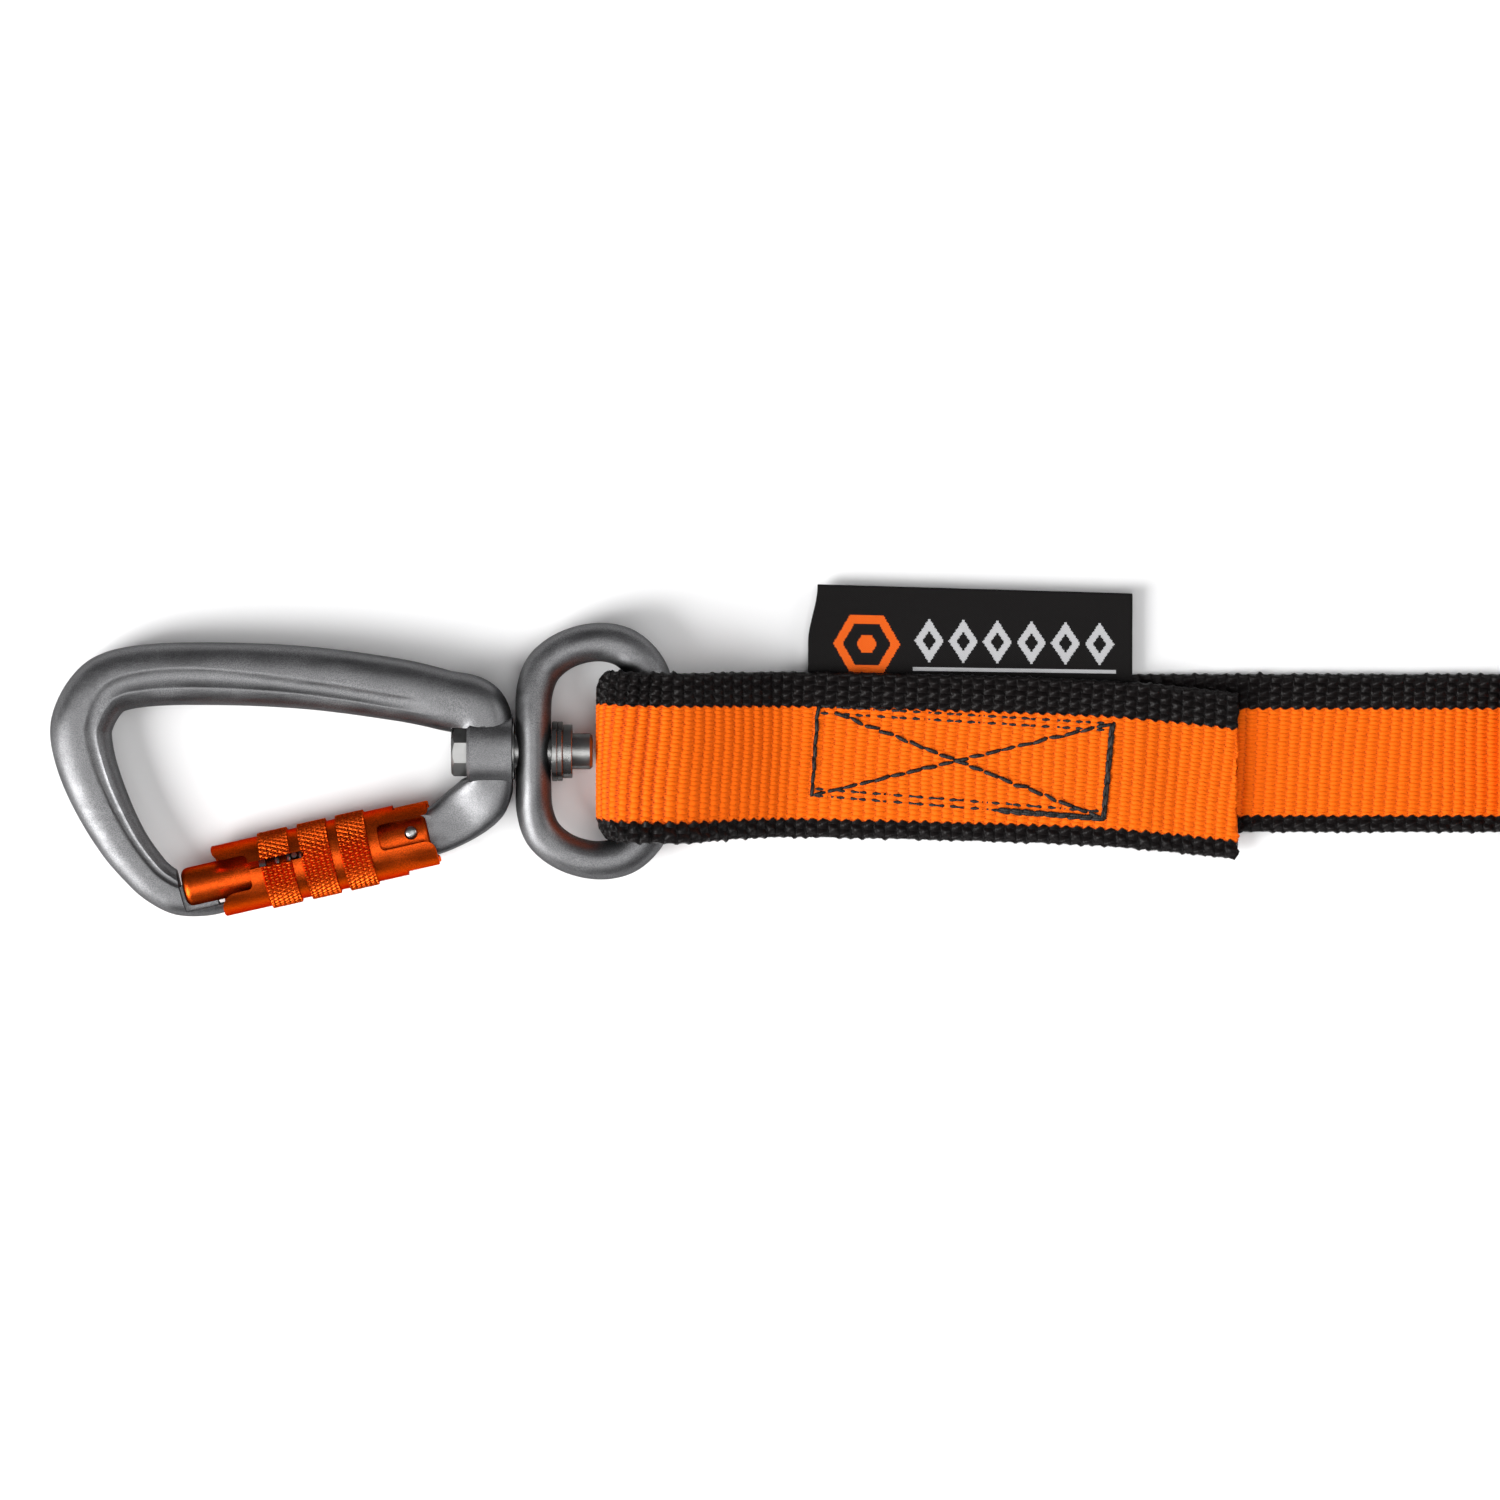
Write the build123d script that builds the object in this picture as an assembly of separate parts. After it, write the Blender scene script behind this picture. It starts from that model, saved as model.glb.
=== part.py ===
"""Walking lead of 25 mm webbing with an auto-locking swivel carabiner.

Millimetres, +Z up. The lead lies flat: the carabiner's basket points to -X, the swivel's
axis runs along X at y = 0, and the part of the webbing that isn't in use is folded into a
hank at the +X end. The origin is under the middle of the whole part, on the surface.
"""
from build123d import *
import os
from math import atan2, cos, degrees, hypot, radians, sin, sqrt, tan

# ---- driving dimensions -------------------------------------------------------------
FIT = 0.06                    # radial clearance of a running fit

WEB_WIDTH = 25.0              # standard lead webbing
WEB_THICK = 2.0

SLEEVE_RADIUS = 6.1           # over the knurl, the fattest thing that lies on the surface
MID = SLEEVE_RADIUS           # height of the hardware's middle plane

# stations are x from the basket's end, y, half width and half thickness
BACK_STATIONS = [
    (28.0, -22.2, 3.10, 2.6),
    (24.4, -22.9, 3.20, 2.8),
    (20.4, -22.7, 3.30, 3.2),
    (17.4, -21.2, 3.35, 3.4),
    (15.2, -19.3, 3.45, 3.6),
    (11.3, -14.3, 3.85, 3.9),
    (7.5, -7.0, 4.40, 4.3),
    (5.2, -0.2, 4.75, 4.5),
    (5.0, 4.6, 4.90, 4.5),
    (8.2, 9.9, 4.90, 4.4),
    (12.9, 11.7, 4.90, 4.3),
    (23.6, 12.3, 4.95, 4.2),
    (39.8, 11.7, 4.95, 4.2),
    (54.6, 9.8, 4.90, 4.2),
    (61.9, 8.2, 4.75, 4.2),
    (67.6, 6.4, 4.75, 4.3),
    (69.6, 0.0, 3.75, 4.4),
]
ARM_STATIONS = [
    (69.6, 0.0, 3.75, 4.2),
    (68.6, -6.6, 4.30, 3.8),
    (65.2, -9.9, 4.30, 2.4),
    (61.0, -12.5, 3.75, 2.2),
    (58.8, -12.9, 3.70, 2.2),
]
BACK_ROUNDNESS, BOW_ROUNDNESS = 0.85, 0.98    # corner radius over half the bar's size
HUB_START = 65.9              # faces of the boss that the swivel bolt runs through
HUB_END = 73.0
HUB_RADIUS = 5.45
HEAD_ROOM = (4.0, 5.0)         # half width and length of the recess for the bolt's head

BOLT_RADIUS = 2.85
BOLT_END = 85.7
HEAD_FLATS = 7.7
HEAD_THICK = 2.5
HEAD_FACE_RADIUS = 3.6        # of the head's front face, inside its broken corners

# node: radius, and its two faces along the bolt
RINGS = {
    "hub_washer": (4.5, HUB_END, HUB_END + 0.4),
    "bow_washer": (4.75, 79.3, 80.15),
    "spring_washer": (4.7, 80.15, 81.0),
    "swivel_nut": (4.25, 81.0, 82.5),
}

BOW_START = 73.55             # outer face of the bow's near bar
BOW_BORE_END = 79.15
BOW_STATIONS = [
    (76.35, -5.0, 2.80, 4.7),
    (76.35, 0.0, 2.80, 4.8),
    (76.35, 5.0, 2.80, 4.7),
    (76.55, 9.5, 2.90, 4.1),
    (78.00, 13.3, 3.00, 3.5),
    (81.60, 16.1, 3.00, 3.3),
    (86.60, 17.3, 3.05, 3.3),
    (91.00, 16.3, 3.15, 3.3),
    (94.30, 12.9, 3.20, 3.2),
    (95.55, 8.5, 3.20, 3.2),
    (95.60, 5.0, 3.20, 3.2),
]
BAR_X = 95.6                  # far bar of the bow, which the webbing holds
BAR_RADIUS = 3.2

GATE_ORIGIN = (41.08, -17.34)
GATE_TILT = 12.8              # degrees from +X
GATE_RADIUS = 3.25
BARREL_RADIUS = 4.0
GATE_START, BARREL_START, GATE_END = -20.6, 8.0, 19.3
FORK_START, FORK_HALF = 12.6, 2.35
SPRING_BORE = (1.6, -3.0)     # radius and closed end of the bore behind the fork
TANG_HALF, TANG_WIDTH = 2.2, 6.0
PIVOT = (16.65, 1.0)          # along and across the gate's axis
PIVOT_RADIUS = 1.05
NOSE_START, NOSE_TOP, NOSE_HALF = -22.0, 0.6, 1.5
NOSE_SLOT = (-14.0, 1.0, NOSE_HALF + 0.25)    # end, top and half width of the gate's slot
LIP_TOP = 3.5                 # how far under the gate's axis the frame's lip lies
NOSE_REACH = 32.6             # the nose and the frame end on arcs about the pivot
FRAME_REACH = 37.8

GUIDE_PIN_ALONG, GUIDE_PIN_ANGLE = -2.1, 22.0
GUIDE_PIN_RADIUS, GUIDE_PIN_LENGTH, GUIDE_PIN_ROOT = 0.45, 2.8, 1.9
PLUNGER_RADIUS, PLUNGER = 1.5, (8.5, 13.3)
GATE_SPRING, GATE_SPRING_RADII = (-2.9, 8.4), (0.9, 1.5)
SLEEVE_SPRING, SLEEVE_SPRING_RADII = (-6.7, 7.9), (3.4, 4.5)
THRUST_RING, THRUST_RING_RADIUS = (-7.8, -6.8), 4.7

SLEEVE_START, SLEEVE_END = -15.0, 20.0
SKIRT_RADIUS = 5.65
SKIRT_BORE = 4.95
KNURL_BANDS = [(-7.5, -2.5), (-1.05, 3.8), (5.15, 9.9)]
GROOVE_RADIUS = 5.6
FRONT_LAND = (-9.5, -7.9)
REAR_LAND = (8.2, 11.5)
SPRING_ROOM_RADIUS = 4.9
NOSE_WINDOW = (-21, 38)       # windows, in degrees from the front towards the inside
HINGE_WINDOW = (-7, 44)
BACK_WINDOW = (150, 220)
GUIDE_SLOT = ((-9.6, -0.6), (1.1, 2.2))       # along and across
INNER_SLOT = (14.5, 2.5)      # bottom and half width of the slots for the frame's tang
OUTER_SLOT = (14.7, 2.8)

LOOP_END = 86.2               # where the webbing turns round the bow's bar
LOOP_TOP = 13.45
TAIL_START, TAIL_END = 112.0, 187.8
TAIL_HEIGHT = 2.9             # underside of the tail, which lies over the label
TAIL_SKEW = -2.0              # degrees
WEB_Y = -0.5
LABEL = (119.8, 171.2)
LABEL_TOP, LABEL_ROOT, LABEL_THICK = 26.2, 0.0, 0.7
LABEL_LEAN = 1.5              # how far its left edge leans in at the top

THREAD, THREAD_RAISED = 0.6, 0.35
STITCH, STITCH_WIDTH = (120.4, 167.9), 17.4

HANK = (233.0, 423.0)         # first and last fold of the put-away length
LAYER = 2.2                   # pitch of the folded layers
HANK_TOP = 3 * LAYER
HANDLE_TOP = 5 * LAYER
HANDLE_SEAM, HANDLE_SEAM_INSET = 40.0, 6.0
LAYER_GAP = 0.1
TIE, TIE_THICK = (292.0, 312.0), 1.1

# the drawing above counts x from the basket's end; the part is centred on its length
X_SHIFT = -HANK[1] / 2


def save(shape, node):
    """Write one sub-part, moved from the drawing to the part's own frame."""
    export_step(Pos(X_SHIFT, 0, 0) * shape, f"parts/{node}.step")


def along_x(radius, start, end, y=0.0, z=MID):
    """A round bar along X."""
    bar = Cylinder(radius, end - start, rotation=(0, 90, 0))
    return Pos((start + end) / 2, y, z) * bar


def along_gate(radius, start, end):
    """A round bar on the gate's axis, in the gate's own frame."""
    return along_x(radius, start, end, z=0)


def block(x, y, z):
    """A box from three (low, high) pairs."""
    size = [pair[1] - pair[0] for pair in (x, y, z)]
    middle = [sum(pair) / 2 for pair in (x, y, z)]
    return Pos(*middle) * Box(*size)


def place_gate(shape):
    """Bring a shape from the gate's frame to the drawing."""
    return Location((*GATE_ORIGIN, MID), (0, 0, GATE_TILT)) * shape


def gate_point(along, across):
    """A point of the gate's frame, in the drawing."""
    turn = radians(GATE_TILT)
    x = GATE_ORIGIN[0] + along * cos(turn) - across * sin(turn)
    y = GATE_ORIGIN[1] + along * sin(turn) + across * cos(turn)
    return x, y


def swept_bar(stations, first_way, last_way, roundness=BACK_ROUNDNESS):
    """A forged bar whose rounded section changes from station to station."""
    sections = []
    last = len(stations) - 1
    for number, (x, y, half_width, half_thick) in enumerate(stations):
        before = stations[max(number - 1, 0)]
        after = stations[min(number + 1, last)]
        way = (after[0] - before[0], after[1] - before[1])
        if number == 0:
            way = first_way
        if number == last:
            way = last_way
        size = hypot(*way)
        way = (way[0] / size, way[1] / size)
        plane = Plane((x, y, MID), x_dir=(-way[1], way[0], 0), z_dir=(way[0], way[1], 0))
        corner = roundness * min(half_width, half_thick)
        sections.append(plane * RectangleRounded(2 * half_width, 2 * half_thick, corner))
    return loft(sections)


# ---- carabiner ----------------------------------------------------------------------
def make_frame():
    """Forged frame: the back, the basket, the nose, the hub and the arm with its hinge tang."""
    pivot = gate_point(*PIVOT)
    back = swept_bar(BACK_STATIONS, first_way=(-1, 0.1), last_way=(0, -1))
    above_lip = place_gate(block((-30, 0), (-LIP_TOP, 10), (-10, 10)))
    back -= above_lip & Pos(*pivot, MID) * Cylinder(FRAME_REACH, 20)

    arm = swept_bar(ARM_STATIONS, first_way=(0, -1), last_way=(-1, -0.25))
    tang_far = ARM_STATIONS[-1][:2]
    reach = hypot(tang_far[0] - pivot[0], tang_far[1] - pivot[1])
    turn = degrees(atan2(tang_far[1] - pivot[1], tang_far[0] - pivot[0]))
    middle = ((pivot[0] + tang_far[0]) / 2, (pivot[1] + tang_far[1]) / 2)
    tang = extrude(SlotCenterToCenter(reach, TANG_WIDTH), TANG_HALF, both=True)
    tang = Pos(*middle, MID) * Rot(0, 0, turn) * tang

    nose_end = NOSE_START + 7
    nose = place_gate(block((NOSE_START, nose_end), (-LIP_TOP - 0.2, NOSE_TOP), (-NOSE_HALF, NOSE_HALF)))
    hub = along_x(HUB_RADIUS, HUB_START, HUB_END)
    past_nose = block((22, 32), (-30, -15), (-10, 30)) & Pos(*pivot, MID) * Cylinder(NOSE_REACH, 20)
    body = (back + nose - past_nose) + arm + tang + hub
    body -= along_x(BOLT_RADIUS + FIT, HUB_START - 1, HUB_END + 1)
    half, depth = HEAD_ROOM
    body -= block((HUB_START - depth, HUB_START), (-half, half), (0, 2 * MID))
    body -= block((HUB_END, HUB_END + 5), (-20, 20), (0, 2 * MID))
    body -= Pos(*pivot, MID) * Cylinder(PIVOT_RADIUS + FIT, 20)
    return body


def make_gate():
    """Gate: a round bar with a slot for the nose and a fork for the frame's tang."""
    rod = along_gate(GATE_RADIUS, GATE_START, BARREL_START + 1)
    rod = fillet(rod.edges().sort_by(Axis.X)[0], 1.2)
    barrel = along_gate(BARREL_RADIUS, BARREL_START, GATE_END)
    barrel = fillet(barrel.edges().sort_by(Axis.X)[-1], 0.8)
    gate = rod + barrel
    slot_end, slot_top, slot_half = NOSE_SLOT
    gate -= block((-30, slot_end), (-10, slot_top), (-slot_half, slot_half))
    gate -= block((FORK_START, 30), (-10, 10), (-FORK_HALF, FORK_HALF))
    gate -= along_gate(*SPRING_BORE, FORK_START + 1)
    gate -= Pos(*PIVOT, 0) * Cylinder(PIVOT_RADIUS, 20)
    gate -= guide_pin_shape()
    return place_gate(gate)


def guide_pin_at(shape):
    """Turn a shape that points along +Z to the guide pin's place on the gate."""
    return Pos(GUIDE_PIN_ALONG, 0, 0) * Rot(-GUIDE_PIN_ANGLE, 0, 0) * shape


def guide_pin_shape():
    """Pin that guides the sleeve, standing out of the gate under the sleeve's slot."""
    upright = (Align.CENTER, Align.CENTER, Align.MIN)
    pin = Cylinder(GUIDE_PIN_RADIUS, GUIDE_PIN_LENGTH, align=upright)
    return guide_pin_at(Pos(0, 0, GUIDE_PIN_ROOT) * pin)


def make_pivot_pin():
    """Rivet that the gate turns on."""
    half = sqrt(BARREL_RADIUS ** 2 - PIVOT[1] ** 2) - 0.05
    return place_gate(Pos(*PIVOT, 0) * Cylinder(PIVOT_RADIUS, 2 * half))


def make_plunger():
    """Plunger that pushes the gate shut against the frame's tang."""
    plunger = along_gate(PLUNGER_RADIUS, *PLUNGER)
    return place_gate(fillet(plunger.edges().sort_by(Axis.X)[-1], 0.4))


def make_gate_spring():
    """Space of the coil spring behind the plunger."""
    inner, outer = GATE_SPRING_RADII
    return place_gate(along_gate(outer, *GATE_SPRING) - along_gate(inner, *GATE_SPRING))


def make_sleeve_spring():
    """Space of the coil spring that brings the sleeve back, open where the guide pin stands."""
    inner, outer = SLEEVE_SPRING_RADII
    coil = along_gate(outer, *SLEEVE_SPRING) - along_gate(inner, *SLEEVE_SPRING)
    coil -= guide_pin_at(block((-1, 1), (-1, 1), (0, 6)))
    return place_gate(coil)


def make_thrust_ring():
    """Ring between the sleeve and its spring: it slides with the sleeve but doesn't turn."""
    ring = along_gate(THRUST_RING_RADIUS, *THRUST_RING)
    return place_gate(ring - along_gate(GATE_RADIUS + FIT, *THRUST_RING))


def wedge(start_angle, end_angle, start, end):
    """Sector about the gate's axis, its angles counted from the front (+Z) towards the inside."""
    reach = 20.0
    angles = [start_angle, (start_angle + end_angle) / 2, end_angle]
    corners = [(0, 0)] + [(reach * sin(radians(a)), reach * cos(radians(a))) for a in angles]
    face = Plane((start, 0, 0), x_dir=(0, 1, 0), z_dir=(1, 0, 0)) * Polygon(*corners, align=None)
    return extrude(face, end - start, dir=(1, 0, 0))


def make_sleeve():
    """Knurled locking sleeve with its windows, guide slot and castellated hinge end."""
    sleeve = along_gate(SKIRT_RADIUS, SLEEVE_START, SLEEVE_END)
    for start, end in KNURL_BANDS:
        sleeve += along_gate(SLEEVE_RADIUS, start, end)
    for (_, groove_start), (groove_end, _) in zip(KNURL_BANDS, KNURL_BANDS[1:]):
        sleeve -= along_gate(8, groove_start, groove_end) - along_gate(GROOVE_RADIUS, -20, 20)
    sleeve -= along_gate(SKIRT_BORE, SLEEVE_START - 1, FRONT_LAND[0])
    sleeve -= along_gate(GATE_RADIUS + FIT, SLEEVE_START, REAR_LAND[0])
    sleeve -= along_gate(SPRING_ROOM_RADIUS, FRONT_LAND[1], REAR_LAND[0])
    sleeve -= along_gate(BARREL_RADIUS + FIT, REAR_LAND[0] - 1, REAR_LAND[1] + 1)
    sleeve -= along_gate(SKIRT_BORE, REAR_LAND[1], SLEEVE_END + 1)
    sleeve -= wedge(*NOSE_WINDOW, SLEEVE_START - 1, FRONT_LAND[0])
    sleeve -= block(*GUIDE_SLOT, (0, 10))
    for window in (HINGE_WINDOW, BACK_WINDOW):
        sleeve -= wedge(*window, REAR_LAND[1], SLEEVE_END + 1)
    for (bottom, half), side in ((INNER_SLOT, (0, 10)), (OUTER_SLOT, (-10, 0))):
        sleeve -= block((bottom, SLEEVE_END + 1), side, (-half, half))
    return place_gate(sleeve)


# ---- swivel -------------------------------------------------------------------------
def make_bolt():
    """Swivel bolt: an eight-sided head inside the carabiner and a plain shank."""
    shank = along_x(BOLT_RADIUS, HUB_START - 1, BOLT_END)
    shank = chamfer(shank.edges().sort_by(Axis.X)[-1], 0.4)
    corner_radius = HEAD_FLATS / 2 / cos(radians(22.5))
    face = Plane((HUB_START - HEAD_THICK, 0, MID), x_dir=(0, 1, 0), z_dir=(1, 0, 0))
    head = extrude(face * RegularPolygon(corner_radius, 8, rotation=22.5), HEAD_THICK)
    front = Pos(HUB_START - HEAD_THICK, 0, MID) * Rot(0, 90, 0)
    upright = (Align.CENTER, Align.CENTER, Align.MIN)
    cone = front * Cone(HEAD_FACE_RADIUS, HEAD_FACE_RADIUS + HEAD_THICK, HEAD_THICK, align=upright)
    return (head & cone) + shank


def make_ring(radius, start, end):
    """A washer or nut on the swivel bolt, its rim slightly broken."""
    ring = along_x(radius, start, end)
    ring = chamfer(ring.edges().filter_by(GeomType.CIRCLE), 0.1)
    return ring - along_x(BOLT_RADIUS + 0.02, start - 1, end + 1)


def make_bow():
    """Rounded D: its near bar is deep enough for the bolt, its far bar is round."""
    half = swept_bar(BOW_STATIONS, first_way=(0, 1), last_way=(0, -1), roundness=BOW_ROUNDNESS)
    half &= block((60, 110), (0, 30), (-10, 30))
    far_end = BOW_STATIONS[-1][1]
    bar = Pos(BAR_X, 0, MID) * Cylinder(BAR_RADIUS, 2 * far_end, rotation=(90, 0, 0))
    bow = half + mirror(half, Plane.XZ) + bar
    return bow - along_x(BOLT_RADIUS + FIT, BOW_START - 5, BOW_BORE_END + 2)


# ---- webbing ------------------------------------------------------------------------
def make_strap():
    """The strap from the hank to the bow, round the bow's bar and down onto itself."""
    low, top = WEB_THICK / 2, LOOP_TOP - WEB_THICK / 2
    turn = (top - low) / 2
    turn_x = LOOP_END + WEB_THICK / 2 + turn
    tail_mid = TAIL_HEIGHT + WEB_THICK / 2
    crest_x = BAR_X + 0.6
    fall = top - tail_mid
    run = TAIL_START - crest_x
    bend = (run ** 2 + fall ** 2) / (4 * fall)
    angle = 2 * atan2(fall, run)
    path = Line((HANK[0], low), (turn_x, low))
    path += CenterArc((turn_x, low + turn), turn, 270, -180)
    path += Line((turn_x, top), (crest_x, top))
    path += CenterArc((crest_x, top - bend), bend, 90, -degrees(angle))
    path += CenterArc((TAIL_START, tail_mid + bend), bend, 270 - degrees(angle), degrees(angle))
    section = Plane((HANK[0], low, 0), x_dir=(0, 1, 0), z_dir=(-1, 0, 0))
    strap = sweep(section * Rectangle(WEB_THICK, WEB_WIDTH), path=path.wire())
    return Pos(0, WEB_Y, 0) * Rot(90, 0, 0) * strap


def make_tail():
    """The strap's sewn-down end, lying a little askew over the label."""
    side = WEB_WIDTH / 2
    drop = (TAIL_END - TAIL_START) * tan(radians(TAIL_SKEW))
    corners = [(TAIL_START, -side), (TAIL_END, drop - side),
               (TAIL_END, drop + side), (TAIL_START, side)]
    return Pos(0, WEB_Y, TAIL_HEIGHT) * extrude(Polygon(*corners, align=None), WEB_THICK)


def make_label():
    """Woven label, folded double and caught between the two layers."""
    height = (TAIL_HEIGHT + WEB_THICK) / 2
    low = height - LABEL_THICK / 2
    left, right = LABEL
    outline = [(left, LABEL_ROOT), (right, LABEL_ROOT),
               (right, LABEL_TOP), (left + LABEL_LEAN, LABEL_TOP)]
    return Pos(0, 0, low) * extrude(Polygon(*outline, align=None), LABEL_THICK)


def box_stitch(length, width):
    """A sewn box with its cross, lying on z = 0."""
    seam = Rectangle(length, width)
    seam -= Rectangle(length - 2 * THREAD, width - 2 * THREAD)
    slope = degrees(atan2(width - THREAD, length - THREAD))
    for turn in (slope, -slope):
        seam += Rot(0, 0, turn) * Rectangle(hypot(length, width) - 3 * THREAD, THREAD)
    return extrude(seam, THREAD_RAISED)


def make_lead_stitch():
    """Box and cross that hold the tail to the strap."""
    middle = sum(STITCH) / 2
    drop = (middle - TAIL_START) * sin(radians(TAIL_SKEW))
    stitch = box_stitch(STITCH[1] - STITCH[0], STITCH_WIDTH)
    return Pos(middle, WEB_Y + drop, TAIL_HEIGHT + WEB_THICK) * Rot(0, 0, TAIL_SKEW) * stitch


def make_handle_stitch():
    """Box and cross that close the hand loop, on top of the hank."""
    end = HANK[1] - HANDLE_SEAM_INSET
    return Pos(end - HANDLE_SEAM / 2, WEB_Y, HANDLE_TOP) * box_stitch(HANDLE_SEAM, STITCH_WIDTH)


def bundle(start, end, low, high):
    """Folded layers of webbing, one on another, with rounded folds."""
    side = WEB_WIDTH / 2
    body = block((start, end), (WEB_Y - side, WEB_Y + side), (low, high))
    return fillet(body.edges().filter_by(Axis.Y), (high - low) * 0.35)


def make_hank():
    """The put-away length, pressed in where the tie goes round it."""
    hank = bundle(*HANK, 0, HANK_TOP)
    start, end = TIE
    groove = block((start - 0.2, end + 0.2), (-20, 20), (0, TIE_THICK + 0.05))
    return hank - groove


def make_handle():
    """The hand loop, folded flat on top of the hank."""
    return bundle(HANK[0] + 1, HANK[1] - 1, HANK_TOP + LAYER_GAP, HANDLE_TOP)


def make_tie():
    """Hook-and-loop band round the hank and the hand loop."""
    side = WEB_WIDTH / 2 + LAYER_GAP
    top = HANDLE_TOP + LAYER_GAP
    outer = block(TIE, (-side - TIE_THICK, side + TIE_THICK), (0, top + TIE_THICK))
    outer = fillet(outer.edges().filter_by(Axis.X), 1.0)
    inner = block(TIE, (-side, side), (TIE_THICK, top))
    return Pos(0, WEB_Y, 0) * (outer - inner)


def main():
    os.makedirs("parts", exist_ok=True)
    save(make_frame(), "carabiner_frame")
    save(make_gate(), "gate")
    save(make_pivot_pin(), "gate_pivot_pin")
    save(make_plunger(), "gate_plunger")
    save(make_gate_spring(), "gate_spring")
    save(place_gate(guide_pin_shape()), "lock_guide_pin")
    save(make_sleeve_spring(), "sleeve_spring")
    save(make_thrust_ring(), "sleeve_thrust_ring")
    save(make_sleeve(), "lock_sleeve")

    save(make_bolt(), "swivel_bolt")
    for node, (radius, start, end) in RINGS.items():
        save(make_ring(radius, start, end), node)
    save(make_bow(), "swivel_bow")

    save(make_strap(), "webbing_strap")
    save(make_tail(), "webbing_tail")
    save(make_label(), "woven_label")
    save(make_lead_stitch(), "lead_stitch")
    save(make_hank(), "webbing_hank")
    save(make_handle(), "hand_loop")
    save(make_handle_stitch(), "handle_stitch")
    save(make_tie(), "hank_tie")


if __name__ == "__main__":
    main()
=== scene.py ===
"""Looks of the webbing lead: forged swivel carabiner, knurled sleeve, ribbed webbing, label.

Shapes are drawn in millimetres, as in the CAD's drawing: x from the basket's end along
the swivel's axis, y across it, and z from the hardware's middle plane or from the surface
that the part lies on. A matrix then places each of them in the frame, in metres.
"""
from math import atan2, ceil, copysign, cos, floor, hypot, pi, radians, sin, tan

import bmesh
import bpy
from mathutils import Matrix, Vector, noise


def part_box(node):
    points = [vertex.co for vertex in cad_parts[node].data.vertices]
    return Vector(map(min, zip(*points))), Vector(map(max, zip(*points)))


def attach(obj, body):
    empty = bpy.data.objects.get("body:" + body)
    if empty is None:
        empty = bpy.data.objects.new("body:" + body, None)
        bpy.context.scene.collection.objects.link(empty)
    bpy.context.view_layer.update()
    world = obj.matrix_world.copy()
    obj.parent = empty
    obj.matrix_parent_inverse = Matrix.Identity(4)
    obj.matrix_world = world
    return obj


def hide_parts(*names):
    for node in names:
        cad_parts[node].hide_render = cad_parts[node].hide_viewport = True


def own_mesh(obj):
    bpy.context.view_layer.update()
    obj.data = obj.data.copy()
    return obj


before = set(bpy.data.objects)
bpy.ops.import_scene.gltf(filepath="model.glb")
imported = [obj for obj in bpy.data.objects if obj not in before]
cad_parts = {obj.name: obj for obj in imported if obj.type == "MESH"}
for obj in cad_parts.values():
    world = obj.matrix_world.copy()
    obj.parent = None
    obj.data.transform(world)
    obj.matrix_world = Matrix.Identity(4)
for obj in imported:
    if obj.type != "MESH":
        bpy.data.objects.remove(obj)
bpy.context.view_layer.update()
MM = 0.001

# ---- driving dimensions, in millimetres ----
HUB = (65.9, 73.0)
HUB_RADIUS = 5.45
HUB_CHAMFER = 0.5
BOLT_END = 85.7
BOLT_BORE = 2.92

GATE_ORIGIN = (41.08, -17.34)
GATE_TILT = 12.8              # degrees
PIVOT = (16.65, 1.0)
PIVOT_BORE = 1.11
NOSE_REACH = 32.6             # from the pivot to the nose plate
FRAME_REACH = 37.8            # from the pivot to the rest of the frame
LIP_TOP = 3.5

WEB_WIDTH = 25.0
WEB_THICK = 2.0
WEB_Y = -0.66
LOW_LAYER = WEB_THICK / 2
TAIL_LAYER = 3.9
CREST = (96.2, 12.45)         # highest point of the loop
LOOP_END = 86.2
TAIL_START, TAIL_END = 119.0, 187.8
SLOPE = 26.5                  # degrees, from the crest down to the sewn part
SLOPE_BEND = 12.0
RIB = 1.75                    # pitch of the webbing's ribs
YARN = 0.66                   # pitch of its warp yarns
BEAD = 1.5                    # and of the thicker ones in its edges
BANDS = (-9.9, 7.1)           # where the orange meets the black edges

LABEL = (119.8, 171.2)
LABEL_TOP = 26.4
LABEL_FALL = 1.5              # how much lower its top is at the right
LABEL_LEAN = 1.5              # how far its left edge leans in at the top
LABEL_LAYERS = (2.28, 2.62)
LABEL_CLOTH = 0.3

HANK = (233.0, 423.0)
LAYER = 2.2
LAYERS = 5
TIE = (292.0, 312.0)
TIE_THICK = 1.0
TIE_ROOM = 1.1                # how far the tie lifts the lowest layer
TIE_SQUEEZE = 1.15            # how much thinner it presses the hank
TIE_LAP = TIE_THICK + 0.05
TIE_EDGE = (8.6, 9.1)         # where its woven edge starts, across

THREAD = 0.28                 # radius of the sewing thread

bolt_low, bolt_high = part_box("swivel_bolt")
DRAWING_X = bolt_high[0] - BOLT_END * MM
MIDDLE = (bolt_low[2] + bolt_high[2]) / 2
SCALE = Matrix.Scale(MM, 4)
HARDWARE = Matrix.Translation((DRAWING_X, 0, MIDDLE)) @ SCALE
SURFACE = Matrix.Translation((DRAWING_X, 0, 0)) @ SCALE
GATE_TURN = Matrix.Rotation(radians(GATE_TILT), 4, "Z")
GATE_PLACE = HARDWARE @ Matrix.Translation((*GATE_ORIGIN, 0)) @ GATE_TURN


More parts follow.
